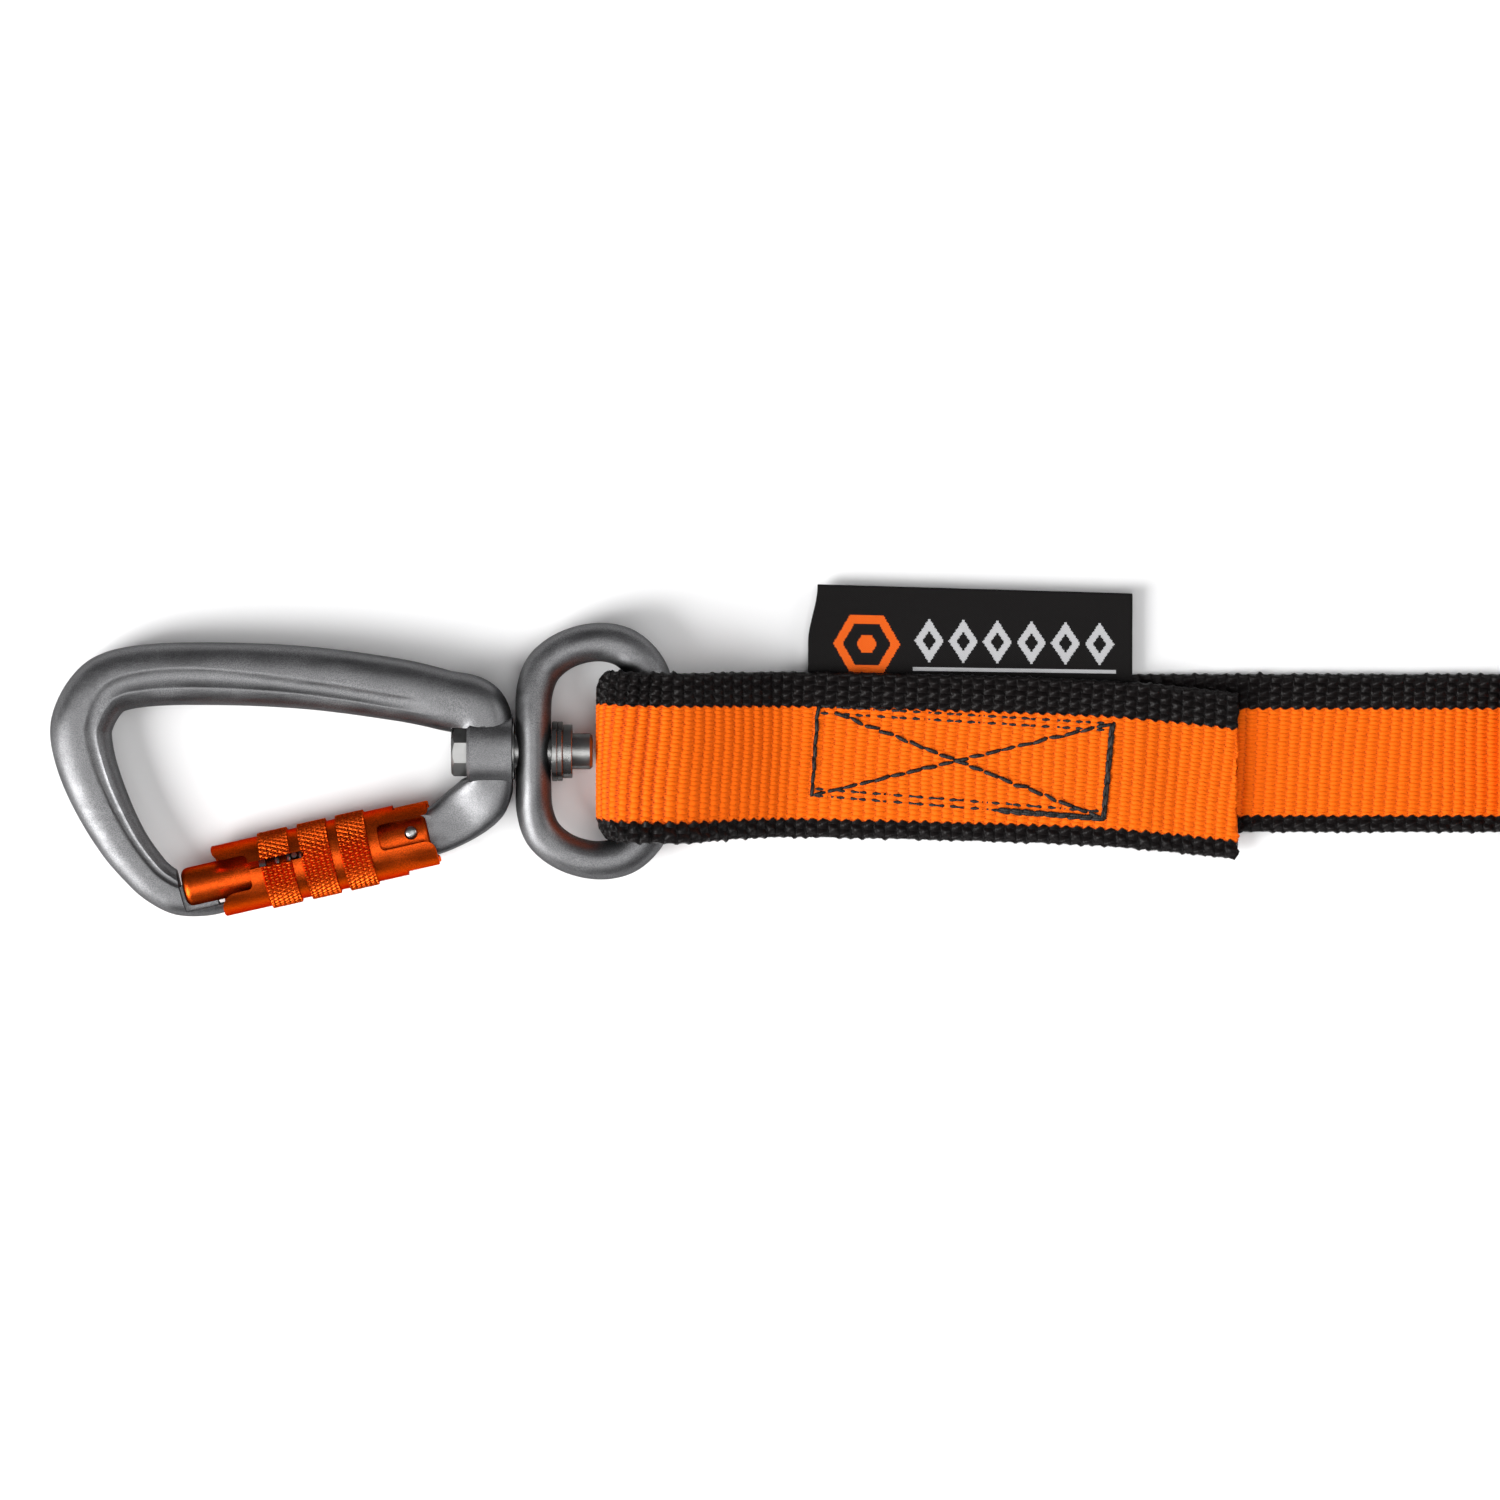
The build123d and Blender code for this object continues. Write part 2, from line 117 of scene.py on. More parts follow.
# ---- mesh helpers ----
def make_piece(name, verts, faces, place=HARDWARE, smooth=True):
    """A mesh object whose vertices are given in millimetres and placed by a matrix."""
    mesh = bpy.data.meshes.new(name)
    mesh.from_pydata([place @ Vector(v) for v in verts], [], faces)
    shell = bmesh.new()
    shell.from_mesh(mesh)
    bmesh.ops.recalc_face_normals(shell, faces=shell.faces)
    shell.to_mesh(mesh)
    shell.free()
    if smooth:
        mesh.shade_smooth()
    piece = bpy.data.objects.new(name, mesh)
    bpy.context.collection.objects.link(piece)
    return piece


def skin(rings, round_trip=False):
    """Vertices and faces of a skin over rings of equally many points, its ends capped."""
    count = len(rings[0])
    verts = [point for ring in rings for point in ring]
    faces = []
    for row in range(len(rings) if round_trip else len(rings) - 1):
        here, there = row * count, (row + 1) % len(rings) * count
        for k in range(count):
            after = (k + 1) % count
            faces.append((here + k, here + after, there + after, there + k))
    if not round_trip:
        faces.append(tuple(range(count)))
        faces.append(tuple(range(len(verts) - count, len(verts))))
    return verts, faces


def merged(skins):
    """One list of vertices and one of faces for several skins."""
    verts, faces = [], []
    for more_verts, more_faces in skins:
        base = len(verts)
        verts += more_verts
        faces += [tuple(base + k for k in face) for face in more_faces]
    return verts, faces


def combine(piece, others, operation):
    """Change a piece's mesh by a boolean operation with each of the others."""
    for other in others:
        step = piece.modifiers.new("combine", "BOOLEAN")
        step.operation = operation
        step.solver = "EXACT"
        step.object = other
    graph = bpy.context.evaluated_depsgraph_get()
    piece.data = bpy.data.meshes.new_from_object(piece.evaluated_get(graph))
    piece.modifiers.clear()


def cut(piece, cutters):
    """Take the cutters out of a piece."""
    combine(piece, cutters, "DIFFERENCE")


def fuse(piece, others):
    """Make one closed skin of a piece and the others that it overlaps."""
    combine(piece, others, "UNION")


def discard(pieces):
    for piece in pieces:
        bpy.data.objects.remove(piece)


def ease(value, start, end):
    """0 at the start, 1 at the end, and smooth between them; the end may be the lower one."""
    share = min(max((value - start) / (end - start), 0.0), 1.0)
    return share * share * (3 - 2 * share)


def circle(count, radius, middle=(0.0, 0.0)):
    turns = [2 * pi * k / count for k in range(count)]
    return [(middle[0] + radius * cos(a), middle[1] + radius * sin(a)) for a in turns]


def bar_x(name, start, end, radius):
    """A plain round bar along X."""
    rings = [[(x, y, z) for y, z in circle(96, radius)] for x in (start, end)]
    return make_piece(name, *skin(rings))


def prism(name, outline, low, high, place=HARDWARE):
    """A flat outline stood up between two heights."""
    rings = [[(x, y, z) for x, y in outline] for z in (low, high)]
    return make_piece(name, *skin(rings), place=place, smooth=False)


def block(name, x, y, z, place=HARDWARE):
    """A box from three (low, high) pairs."""
    outline = [(x[0], y[0]), (x[1], y[0]), (x[1], y[1]), (x[0], y[1])]
    return prism(name, outline, *z, place=place)


def rounded(corners):
    """An outline from (x, y, radius) corners, each rounded by its radius."""
    steps = 6
    outline = []
    for k, (x, y, radius) in enumerate(corners):
        corner = Vector((x, y))
        back = (Vector(corners[k - 1][:2]) - corner).normalized()
        ahead = (Vector(corners[(k + 1) % len(corners)][:2]) - corner).normalized()
        if radius == 0:
            outline.append((x, y))
            continue
        half = back.angle(ahead) / 2
        reach = radius / sin(half)
        middle = corner + (back + ahead).normalized() * reach
        start = corner + back * reach * cos(half)
        end = corner + ahead * reach * cos(half)
        for step in range(steps + 1):
            arm = (start - middle).lerp(end - middle, step / steps)
            outline.append(tuple(middle + arm.normalized() * radius))
    return outline


def smooth_way(stations, spacing):
    """Points along a smooth curve through the stations, with all their numbers blended."""
    reach = [0.0]
    for a, b in zip(stations, stations[1:]):
        reach.append(reach[-1] + hypot(b[0] - a[0], b[1] - a[1]))
    slopes = []
    for k in range(len(stations)):
        low, high = max(k - 1, 0), min(k + 1, len(stations) - 1)
        span = reach[high] - reach[low]
        slopes.append([(b - a) / span for a, b in zip(stations[low], stations[high])])
    way = []
    for k in range(len(stations) - 1):
        span = reach[k + 1] - reach[k]
        steps = max(2, ceil(span / spacing))
        for step in range(steps):
            t = step / steps
            end = 3 * t ** 2 - 2 * t ** 3
            out, back = (t ** 3 - 2 * t ** 2 + t) * span, (t ** 3 - t ** 2) * span
            both = zip(stations[k], slopes[k], stations[k + 1], slopes[k + 1])
            way.append([a * (1 - end) + m * out + b * end + n * back for a, m, b, n in both])
    way.append(list(stations[-1]))
    return way


def sweep(name, way, sections, round_trip=False):
    """A skin that follows a flat way, with one section of (left, up) pairs per point."""
    rings = []
    last = len(way) - 1
    for k, (point, section) in enumerate(zip(way, sections)):
        behind = way[k - 1] if round_trip else way[max(k - 1, 0)]
        beyond = way[(k + 1) % len(way)] if round_trip else way[min(k + 1, last)]
        ahead = Vector((beyond[0] - behind[0], beyond[1] - behind[1])).normalized()
        left = (-ahead.y, ahead.x)
        rings.append([(point[0] + n * left[0], point[1] + n * left[1], z) for n, z in section])
    return make_piece(name, *skin(rings, round_trip))


def tube(points, radius):
    """A skin round a short line of points that lies more or less flat."""
    rings = []
    for k, point in enumerate(points):
        ahead = Vector(points[min(k + 1, len(points) - 1)]) - Vector(points[max(k - 1, 0)])
        side = ahead.cross(Vector((0, 0, 1))).normalized()
        over = side.cross(ahead).normalized()
        rings.append([Vector(point) + side * a + over * b for a, b in circle(6, radius)])
    return skin(rings)


# ---- forged parts ----
def forged_section(half_width, half_thick, step=0.0, ridge=-0.5, depth=0.0, square=2.5,
                   count=160):
    """(out, up) points of a forged bar's section, rounded, with a valley on both faces.

    Places across the bar run from 1 on its outer side to -1 on its inner side. The valley
    lies between two soft edges, the step and the ridge.
    """
    points = []
    for k in range(count):
        turn = 2 * pi * (k + 0.5) / count
        out = copysign(abs(cos(turn)) ** (2 / square), cos(turn))
        up = copysign(abs(sin(turn)) ** (2 / square), sin(turn))
        share = min(max((step - out) / (step - ridge), 0.0), 1.0)
        valley = 4 * share * (1 - share)
        points.append((out * half_width, up * (half_thick - depth * valley)))
    return points


# x, y, half width, half thickness, where the valley starts, its ridge, and its depth
BACK = [
    (28.0, -22.2, 3.10, 2.6, -0.35, -0.60, 0.0),
    (24.4, -22.9, 3.20, 2.8, -0.35, -0.60, 0.0),
    (20.4, -22.7, 3.30, 3.2, -0.35, -0.62, 0.15),
    (17.4, -21.2, 3.35, 3.4, -0.33, -0.64, 0.3),
    (15.2, -19.3, 3.45, 3.6, -0.32, -0.64, 0.42),
    (11.3, -14.3, 3.85, 3.9, -0.32, -0.64, 0.5),
    (7.5, -7.0, 4.40, 4.3, -0.28, -0.62, 0.52),
    (5.2, -0.2, 4.75, 4.5, -0.24, -0.60, 0.48),
    (5.0, 4.6, 4.90, 4.5, -0.16, -0.55, 0.35),
    (8.2, 9.9, 4.90, 4.4, 0.05, -0.48, 0.3),
    (12.9, 11.7, 4.90, 4.3, 0.18, -0.42, 0.42),
    (23.6, 12.3, 4.95, 4.2, 0.22, -0.40, 0.5),
    (39.8, 11.7, 4.95, 4.2, -0.01, -0.48, 0.5),
    (54.6, 9.8, 4.90, 4.2, -0.10, -0.55, 0.38),
    (61.9, 8.2, 4.75, 4.2, -0.04, -0.55, 0.0),
    (67.6, 6.4, 4.75, 4.3, -0.04, -0.55, 0.0),
    (69.6, 0.0, 3.75, 4.4, -0.04, -0.55, 0.0),
]
# x, y, half width, half thickness
ARM = [
    (69.6, 0.0, 3.75, 4.2),
    (69.5, -5.0, 3.75, 4.1),
    (68.2, -7.4, 4.35, 3.5),
    (65.2, -9.9, 4.30, 2.4),
    (61.0, -12.5, 3.75, 2.2),
    (58.8, -12.9, 3.70, 2.2),
]
SPAN = 0.4                    # between the rings of a forged skin
ROOM = 20                     # half height of the cutters, well past the frame's faces
ROOM_END = (32, -15)          # the gate's room lies below and to the left of this place
TANG_HALF_WIDTH = 3.0
TANG_HALF_THICK = 2.2
NOSE = (-22.0, -14.0)         # of the nose plate, along the gate
NOSE_TOP = 0.6
NOSE_HALF_THICK = 1.5
HEAD_ROOM = (2.6, 3.9)        # length and half width of the recess for the bolt's head


def gate_point(along, across):
    """A place given along and across the gate, in the drawing's x and y."""
    turn = radians(GATE_TILT)
    x = GATE_ORIGIN[0] + along * cos(turn) - across * sin(turn)
    y = GATE_ORIGIN[1] + along * sin(turn) + across * cos(turn)
    return x, y


def gate_rooms(pivot):
    """Cutters for the room that the gate sweeps: one in the frame, a smaller one in the nose."""
    heights = (-ROOM / 2, ROOM / 2)
    frame_room = prism("frame_room", circle(360, FRAME_REACH, pivot), *heights)
    nose_room = prism("nose_room", circle(360, NOSE_REACH, pivot), *heights)
    under_lip = block("under_lip", (-60, 60), (-60, -LIP_TOP), (-ROOM, ROOM), GATE_PLACE)
    back_side = block("back_side", (-60, 120), (ROOM_END[1], 60), (-ROOM, ROOM))
    hinge_side = block("hinge_side", (ROOM_END[0], 120), (-80, 60), (-ROOM, ROOM))
    cut(frame_room, [under_lip, back_side, hinge_side])
    cut(nose_room, [back_side, hinge_side])
    discard([under_lip, back_side, hinge_side])
    return frame_room, nose_room


def make_frame():
    """The carabiner's forged frame, with its nose plate, hinge tang and swivel hub."""
    pivot = gate_point(*PIVOT)
    way = smooth_way(BACK, SPAN)
    back = sweep("back", way, [forged_section(*point[2:]) for point in way])
    way = smooth_way(ARM, SPAN)
    arm = sweep("arm", way, [forged_section(*point[2:], square=4.5) for point in way])
    lean = Vector(ARM[-1][:2]) - Vector(pivot)
    turn = Matrix.Rotation(atan2(lean.y, lean.x), 4, "Z")
    tang_place = HARDWARE @ Matrix.Translation((*pivot, 0)) @ turn
    sides = (-TANG_HALF_WIDTH, TANG_HALF_WIDTH)
    faces = (-TANG_HALF_THICK, TANG_HALF_THICK)
    tang = block("tang", (0, lean.length + 1), sides, faces, tang_place)
    knuckle = prism("knuckle", circle(64, TANG_HALF_WIDTH, pivot), *faces)
    hub_ends = ((HUB[0], HUB_RADIUS - HUB_CHAMFER), (HUB[0] + HUB_CHAMFER, HUB_RADIUS),
                (HUB[1], HUB_RADIUS))
    hub_rings = [[(x, y, z) for y, z in forged_section(size, size, square=2.7)]
                 for x, size in hub_ends]
    hub = make_piece("hub", *skin(hub_rings))
    nose_faces = (-NOSE_HALF_THICK, NOSE_HALF_THICK)
    nose = block("nose", NOSE, (-LIP_TOP - 0.2, NOSE_TOP), nose_faces, GATE_PLACE)

    frame_room, nose_room = gate_rooms(pivot)
    bore = bar_x("bore", HUB[0] - 5, HUB[1] + 5, BOLT_BORE)
    length, half = HEAD_ROOM
    head_room = block("head_room", (HUB[0] - length, HUB[0] + 0.2), (-half, half), (-ROOM, ROOM))
    past_hub = block("past_hub", (HUB[1], HUB[1] + 5), (-ROOM, ROOM), (-ROOM, ROOM))
    pin_room = prism("pin_room", circle(48, PIVOT_BORE, pivot), -ROOM, ROOM)
    cut(back, [frame_room, head_room, past_hub])
    cut(nose, [nose_room])
    cut(arm, [head_room, past_hub])
    fuse(tang, [knuckle])
    fuse(back, [hub, arm, tang, nose])
    cut(back, [bore, pin_room])
    discard([frame_room, nose_room, bore, head_room, past_hub, pin_room])
    discard([hub, arm, tang, knuckle, nose])
    back.name = "forged_frame"
    back.data.set_sharp_from_angle(angle=radians(42))
    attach(back, "carabiner")
    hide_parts("carabiner_frame")
    return back


# x, y, half width, half thickness of one half of the swivel's D
BOW = [
    (76.35, 0.0, 2.80, 4.8),
    (76.35, 5.0, 2.80, 4.7),
    (76.55, 9.5, 2.90, 4.1),
    (78.00, 13.3, 3.00, 3.5),
    (81.60, 16.1, 3.00, 3.3),
    (86.60, 17.3, 3.05, 3.3),
    (91.00, 16.3, 3.15, 3.3),
    (94.30, 12.9, 3.20, 3.2),
    (95.55, 8.5, 3.20, 3.2),
    (95.60, 4.0, 3.20, 3.2),
    (95.60, 0.0, 3.20, 3.2),
]


def make_bow():
    """The swivel's rounded D, bored for the bolt."""
    other_half = [(x, -y, *size) for x, y, *size in BOW[-2:0:-1]]
    way = smooth_way(BOW + other_half + BOW[:1], 0.45)[:-1]
    sections = [forged_section(*point[2:], square=2.15, count=72) for point in way]
    bow = sweep("forged_bow", way, sections, round_trip=True)
    bore = bar_x("bore", 70, 82, BOLT_BORE)
    cut(bow, [bore])
    discard([bore])
    bow.data.set_sharp_from_angle(angle=radians(35))
    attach(bow, "bow")
    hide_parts("swivel_bow")
    return bow


# ---- locking sleeve and springs ----
SLEEVE = (-15.0, 20.0)
SKIRT_RADIUS, SKIRT_BORE = 5.65, 4.95
KNURL_RADIUS, GROOVE_RADIUS = 6.1, 5.6
KNURL_BANDS = [(-7.5, -2.5), (-1.05, 3.8), (5.15, 9.9)]
KNURLS_AROUND = 44
KNURL_PITCH = 1.55            # along the sleeve
KNURL_DEPTH = 0.3
KNURL_FLANK = 0.28            # share of the pitch from a groove's bottom to the diamond
WINDOW_DEPTHS = (-9.5, 11.5)  # where the windows at each end of the sleeve stop
BORE = [(20.0, SKIRT_BORE), (11.5, SKIRT_BORE), (11.5, 4.06), (8.2, 4.06), (8.2, 4.9),
        (-7.9, 4.9), (-7.9, 3.31), (-9.5, 3.31), (-9.5, SKIRT_BORE), (-15.0, SKIRT_BORE)]
WINDOW_SIDES = (-2.02, 3.48)  # of the window over the nose, across the gate
HINGE_WINDOW_SIDES = (-0.69, 3.4)
BACK_WINDOW_SIDES = (-3.63, 2.83)
SLOT = (-9.7, -0.6)           # the guide pin's slot, along the gate
SLOT_SIDES = (1.1, 2.2)


def knurl(along, turn):
    """0 in a groove of the diamond knurl and 1 on a diamond."""
    round_way = turn * KNURLS_AROUND / (2 * pi)
    lines = (round_way + along / KNURL_PITCH, round_way - along / KNURL_PITCH)
    return ease(min(abs(line % 1 - 0.5) for line in lines), 0, KNURL_FLANK)


def sleeve_outline():
    """(along, radius, knurled) down the outside of the sleeve and back up its bore."""
    edge = 0.15
    outline = [(SLEEVE[0], SKIRT_RADIUS - edge, False), (SLEEVE[0] + edge, SKIRT_RADIUS, False)]
    for start, end in KNURL_BANDS:
        first, last = start == KNURL_BANDS[0][0], end == KNURL_BANDS[-1][1]
        outline.append((start, SKIRT_RADIUS if first else GROOVE_RADIUS, False))
        steps = round((end - start) / 0.15)
        for k in range(steps + 1):
            along = start + edge + (end - start - 2 * edge) * k / steps
            outline.append((along, KNURL_RADIUS, True))
        outline.append((end, SKIRT_RADIUS if last else GROOVE_RADIUS, False))
    outline += [(SLEEVE[1] - edge, SKIRT_RADIUS, False), (SLEEVE[1], SKIRT_RADIUS - edge, False)]
    return outline + [(along, radius, False) for along, radius in BORE]


def end_window(name, end, depth, sides, radii, front=True):
    """Cutter for a window that is open at one end of the sleeve."""
    away = copysign(2, end)
    low, high = sides
    corners = [(end + away, -8, 0), (end, -8, 0), (end, low, radii[0]), (depth, low, 0.8),
               (depth, high, 0.8), (end, high, radii[1]), (end, 8, 0), (end + away, 8, 0)]
    reach = (0.5, 9) if front else (-9, -0.5)
    return prism(name, rounded(corners), *reach, place=GATE_PLACE)


def make_sleeve():
    """The knurled locking sleeve with its windows, guide slot and slotted hinge end."""
    around = KNURLS_AROUND * 8
    turns = [2 * pi * k / around for k in range(around)]
    rings = []
    for along, radius, knurled in sleeve_outline():
        ring = []
        for turn in turns:
            reach = radius - KNURL_DEPTH * (1 - knurl(along, turn)) if knurled else radius
            ring.append((along, reach * sin(turn), reach * cos(turn)))
        rings.append(ring)
    sleeve = make_piece("knurled_sleeve", *skin(rings, round_trip=True), place=GATE_PLACE)
    slot_ends = [(SLOT[0], SLOT_SIDES[0], 0), (SLOT[1], SLOT_SIDES[0], 0.5),
                 (SLOT[1], SLOT_SIDES[1], 0.5), (SLOT[0], SLOT_SIDES[1], 0)]
    cutters = [
        end_window("nose_window", SLEEVE[0], WINDOW_DEPTHS[0], WINDOW_SIDES, (2.6, 1.8)),
        end_window("hinge_window", SLEEVE[1], WINDOW_DEPTHS[1], HINGE_WINDOW_SIDES, (1.6, 0.8)),
        end_window("back_window", SLEEVE[1], WINDOW_DEPTHS[1], BACK_WINDOW_SIDES, (0.8, 0.8),
                   front=False),
        prism("guide_slot", rounded(slot_ends), 0, 10, place=GATE_PLACE),
        block("inner_slot", (14.5, 30), (0, 10), (-2.5, 2.5), GATE_PLACE),
        block("outer_slot", (14.7, 30), (-10, 0), (-2.8, 2.8), GATE_PLACE),
    ]
    cut(sleeve, cutters)
    discard(cutters)
    sleeve.data.set_sharp_from_angle(angle=radians(40))
    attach(sleeve, "sleeve")
    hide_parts("lock_sleeve")
    return sleeve


def make_coil(name, node, ends, radius, wire, pitch, start_angle=0.0):
    """A coil spring round the gate's axis; angles run from the front towards the inside."""
    start, end = ends[0] + wire, ends[1] - wire
    turns = (end - start) / pitch
    steps = ceil(turns * 32)
    rings = []
    for k in range(steps + 1):
        angle = radians(start_angle) + 2 * pi * turns * k / steps
        along = start + (end - start) * k / steps
        ring = []
        for a, b in circle(10, wire):
            ring.append((along + a, (radius + b) * sin(angle), (radius + b) * cos(angle)))
        rings.append(ring)
    coil = make_piece(name, *skin(rings), place=GATE_PLACE)
    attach(coil, "gate")
    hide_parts(node)
    return coil


# radius and height of one domed half of the gate's rivet
RIVET = [(0.2, 3.98), (0.5, 3.94), (0.8, 3.82), (1.0, 3.62), (1.05, 3.4)]


def make_rivet():
    """The rivet that the gate turns on, domed at both ends."""
    other_half = [(radius, -height) for radius, height in reversed(RIVET)]
    place = GATE_PLACE @ Matrix.Translation((*PIVOT, 0))
    rings = [[(x, y, height) for x, y in circle(48, radius)]
             for radius, height in RIVET + other_half]
    rivet = make_piece("domed_rivet", *skin(rings), place=place)
    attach(rivet, "gate")
    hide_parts("gate_pivot_pin")
    return rivet


SLEEVE_SPRING = (-6.7, 7.9)


def make_springs():
    """The sleeve's spring, with a mesh of its own, and the gate's."""
    outer = make_coil("sleeve_coil", "sleeve_spring", SLEEVE_SPRING, 3.95, 0.4, 1.9, 126.0)
    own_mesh(outer)
    inner = make_coil("gate_coil", "gate_spring", (-2.9, 8.4), 1.15, 0.25, 1.0)
    return outer, inner


# ---- webbing ----
def straight(start, end, step=0.1):
    count = max(1, round(hypot(end[0] - start[0], end[1] - start[1]) / step))
    return [(start[0] + (end[0] - start[0]) * k / count,
             start[1] + (end[1] - start[1]) * k / count) for k in range(count + 1)]


def bend(middle, radius, start, end, step=0.1):
    """Points of an arc, its angles in degrees."""
    count = max(2, round(abs(radians(end - start)) * radius / step))
    turns = [radians(start + (end - start) * k / count) for k in range(count + 1)]
    return [(middle[0] + radius * cos(a), middle[1] + radius * sin(a)) for a in turns]


def evenly(points, spacing):
    """The same line as points a fixed distance apart."""
    even = [points[0]]
    left = spacing
    for a, b in zip(points, points[1:]):
        size = hypot(b[0] - a[0], b[1] - a[1])
        done = 0.0
        while size - done >= left:
            done += left
            share = done / size
            even.append((a[0] + (b[0] - a[0]) * share, a[1] + (b[1] - a[1]) * share))
            left = spacing
        left -= size - done
    return even


def loop_route():
    """Side view of the strap: sewn tail, over the bow's bar, round it, and on to the hank.

    Past the label the tail steps down and lies pressed on the layer below.
    """
    half_turn = (CREST[1] - LOW_LAYER) / 2
    turn_x = LOOP_END + WEB_THICK / 2 + half_turn
    slope = radians(SLOPE)
    fall = CREST[1] - TAIL_LAYER - 2 * SLOPE_BEND * (1 - cos(slope))
    slope_x = CREST[0] + SLOPE_BEND * sin(slope)
    slope_z = CREST[1] - SLOPE_BEND * (1 - cos(slope))
    foot_x, foot_z = slope_x + fall / tan(slope), slope_z - fall
    flat_x = foot_x + SLOPE_BEND * sin(slope)
    pressed = LOW_LAYER + WEB_THICK + 0.1
    step_end, step_start = LABEL[1] + 7, LABEL[1] + 1
    route = straight((TAIL_END, pressed), (step_end, pressed))
    route += straight((step_end, pressed), (step_start, TAIL_LAYER))
    route += straight((step_start, TAIL_LAYER), (flat_x, TAIL_LAYER))
    route += bend((flat_x, TAIL_LAYER + SLOPE_BEND), SLOPE_BEND, 270, 270 - SLOPE)
    route += straight((foot_x, foot_z), (slope_x, slope_z))
    route += bend((CREST[0], CREST[1] - SLOPE_BEND), SLOPE_BEND, 90 - SLOPE, 90)
    route += straight(CREST, (turn_x, CREST[1]))
    route += bend((turn_x, LOW_LAYER + half_turn), half_turn, 90, 270)
    route += straight((turn_x, LOW_LAYER), (HANK[0], LOW_LAYER))
    return route


def under_tie(x):
    """How tightly the tie holds the hank here, from 0 to 1."""
    away = abs(x - sum(TIE) / 2) - (TIE[1] - TIE[0]) / 2
    return ease(away, 16, 0)


def hank_route():
    """Side view of the folded length: five layers, the last two being the hand loop."""
    fold = LAYER / 2
    ends = (HANK[0] + WEB_THICK / 2 + fold, HANK[1] - WEB_THICK / 2 - fold)
    route = [(HANK[0], LOW_LAYER)]
    for layer in range(LAYERS):
        z = LOW_LAYER + LAYER * layer
        start, end = ends if layer % 2 == 0 else reversed(ends)
        route += straight((start, z), (end, z))
        if layer < LAYERS - 1:
            side = (270, 450) if layer % 2 == 0 else (270, 90)
            route += bend((end, z + fold), fold, *side)
    squeeze = TIE_SQUEEZE / (LAYER * (LAYERS - 1))
    return [(x, z + under_tie(x) * (TIE_ROOM - squeeze * (z - LOW_LAYER))) for x, z in route]


def ribbon(name, line, side, section):
    """A strip that follows a line; section(row) gives (across, lift) pairs round the strip."""
    rings = []
    side = Vector(side)
    last = len(line) - 1
    for row, point in enumerate(line):
        ahead = Vector(line[min(row + 1, last)]) - Vector(line[max(row - 1, 0)])
        normal = side.cross(ahead).normalized()
        rings.append([Vector(point) + side * w + normal * lift for w, lift in section(row)])
    return make_piece(name, *skin(rings), place=SURFACE)


def strip_section(half_width, half_thick, columns):
    """(across, lift) points round a flat strip with rounded edges."""
    flat = half_width - half_thick * 0.8
    face = [-flat + 2 * flat * k / columns for k in range(columns + 1)]
    edge = [(half_width - half_thick * 0.8 * (1 - cos(a)), half_thick * sin(a))
            for a in (pi / 4, 0, -pi / 4)]
    points = [(w, half_thick) for w in face] + edge
    return points + [(-w, -lift) for w, lift in points]


def give_points(piece, name, facts):
    """Store three numbers for each vertex, for the material to read."""
    layer = piece.data.attributes.new(name, "FLOAT_VECTOR", "POINT")
    layer.data.foreach_set("vector", [number for fact in facts for number in fact])


# the webbing's relief and its edges: how much, and where across it that starts and is full
RIB_DEPTH = 0.42
BEAD_DEPTH, SELVEDGE = 0.34, (9.3, 10.5)
BULGE, RIM = 0.22, (11.2, 12.4)
CURL, CURL_BAND = 0.9, (10.0, 12.5)
LIFT, LIFT_BAND = 1.7, (9.2, 12.2)
SPREAD = (5.0, 13.0)
OPENING = (101, 92)           # along x: where its ribs open, as it turns round the bow's bar
CURLING = (90, 87)            # and where its edges curl in
LIFT_X, LIFTING = 98, (9.8, 2.8)    # its lower edge lifts to let the bow swing past


def rib_phase(along, across, heading):
    """Which rib a place is on: the ribs lean a little, wander and zigzag."""
    wander = 0.5 * noise.noise(Vector((along / 23, across / 16, 3.1)))
    zigzag = 0.07 * sin(pi * across / YARN)
    return along / RIB - 0.04 * across * heading + wander + zigzag


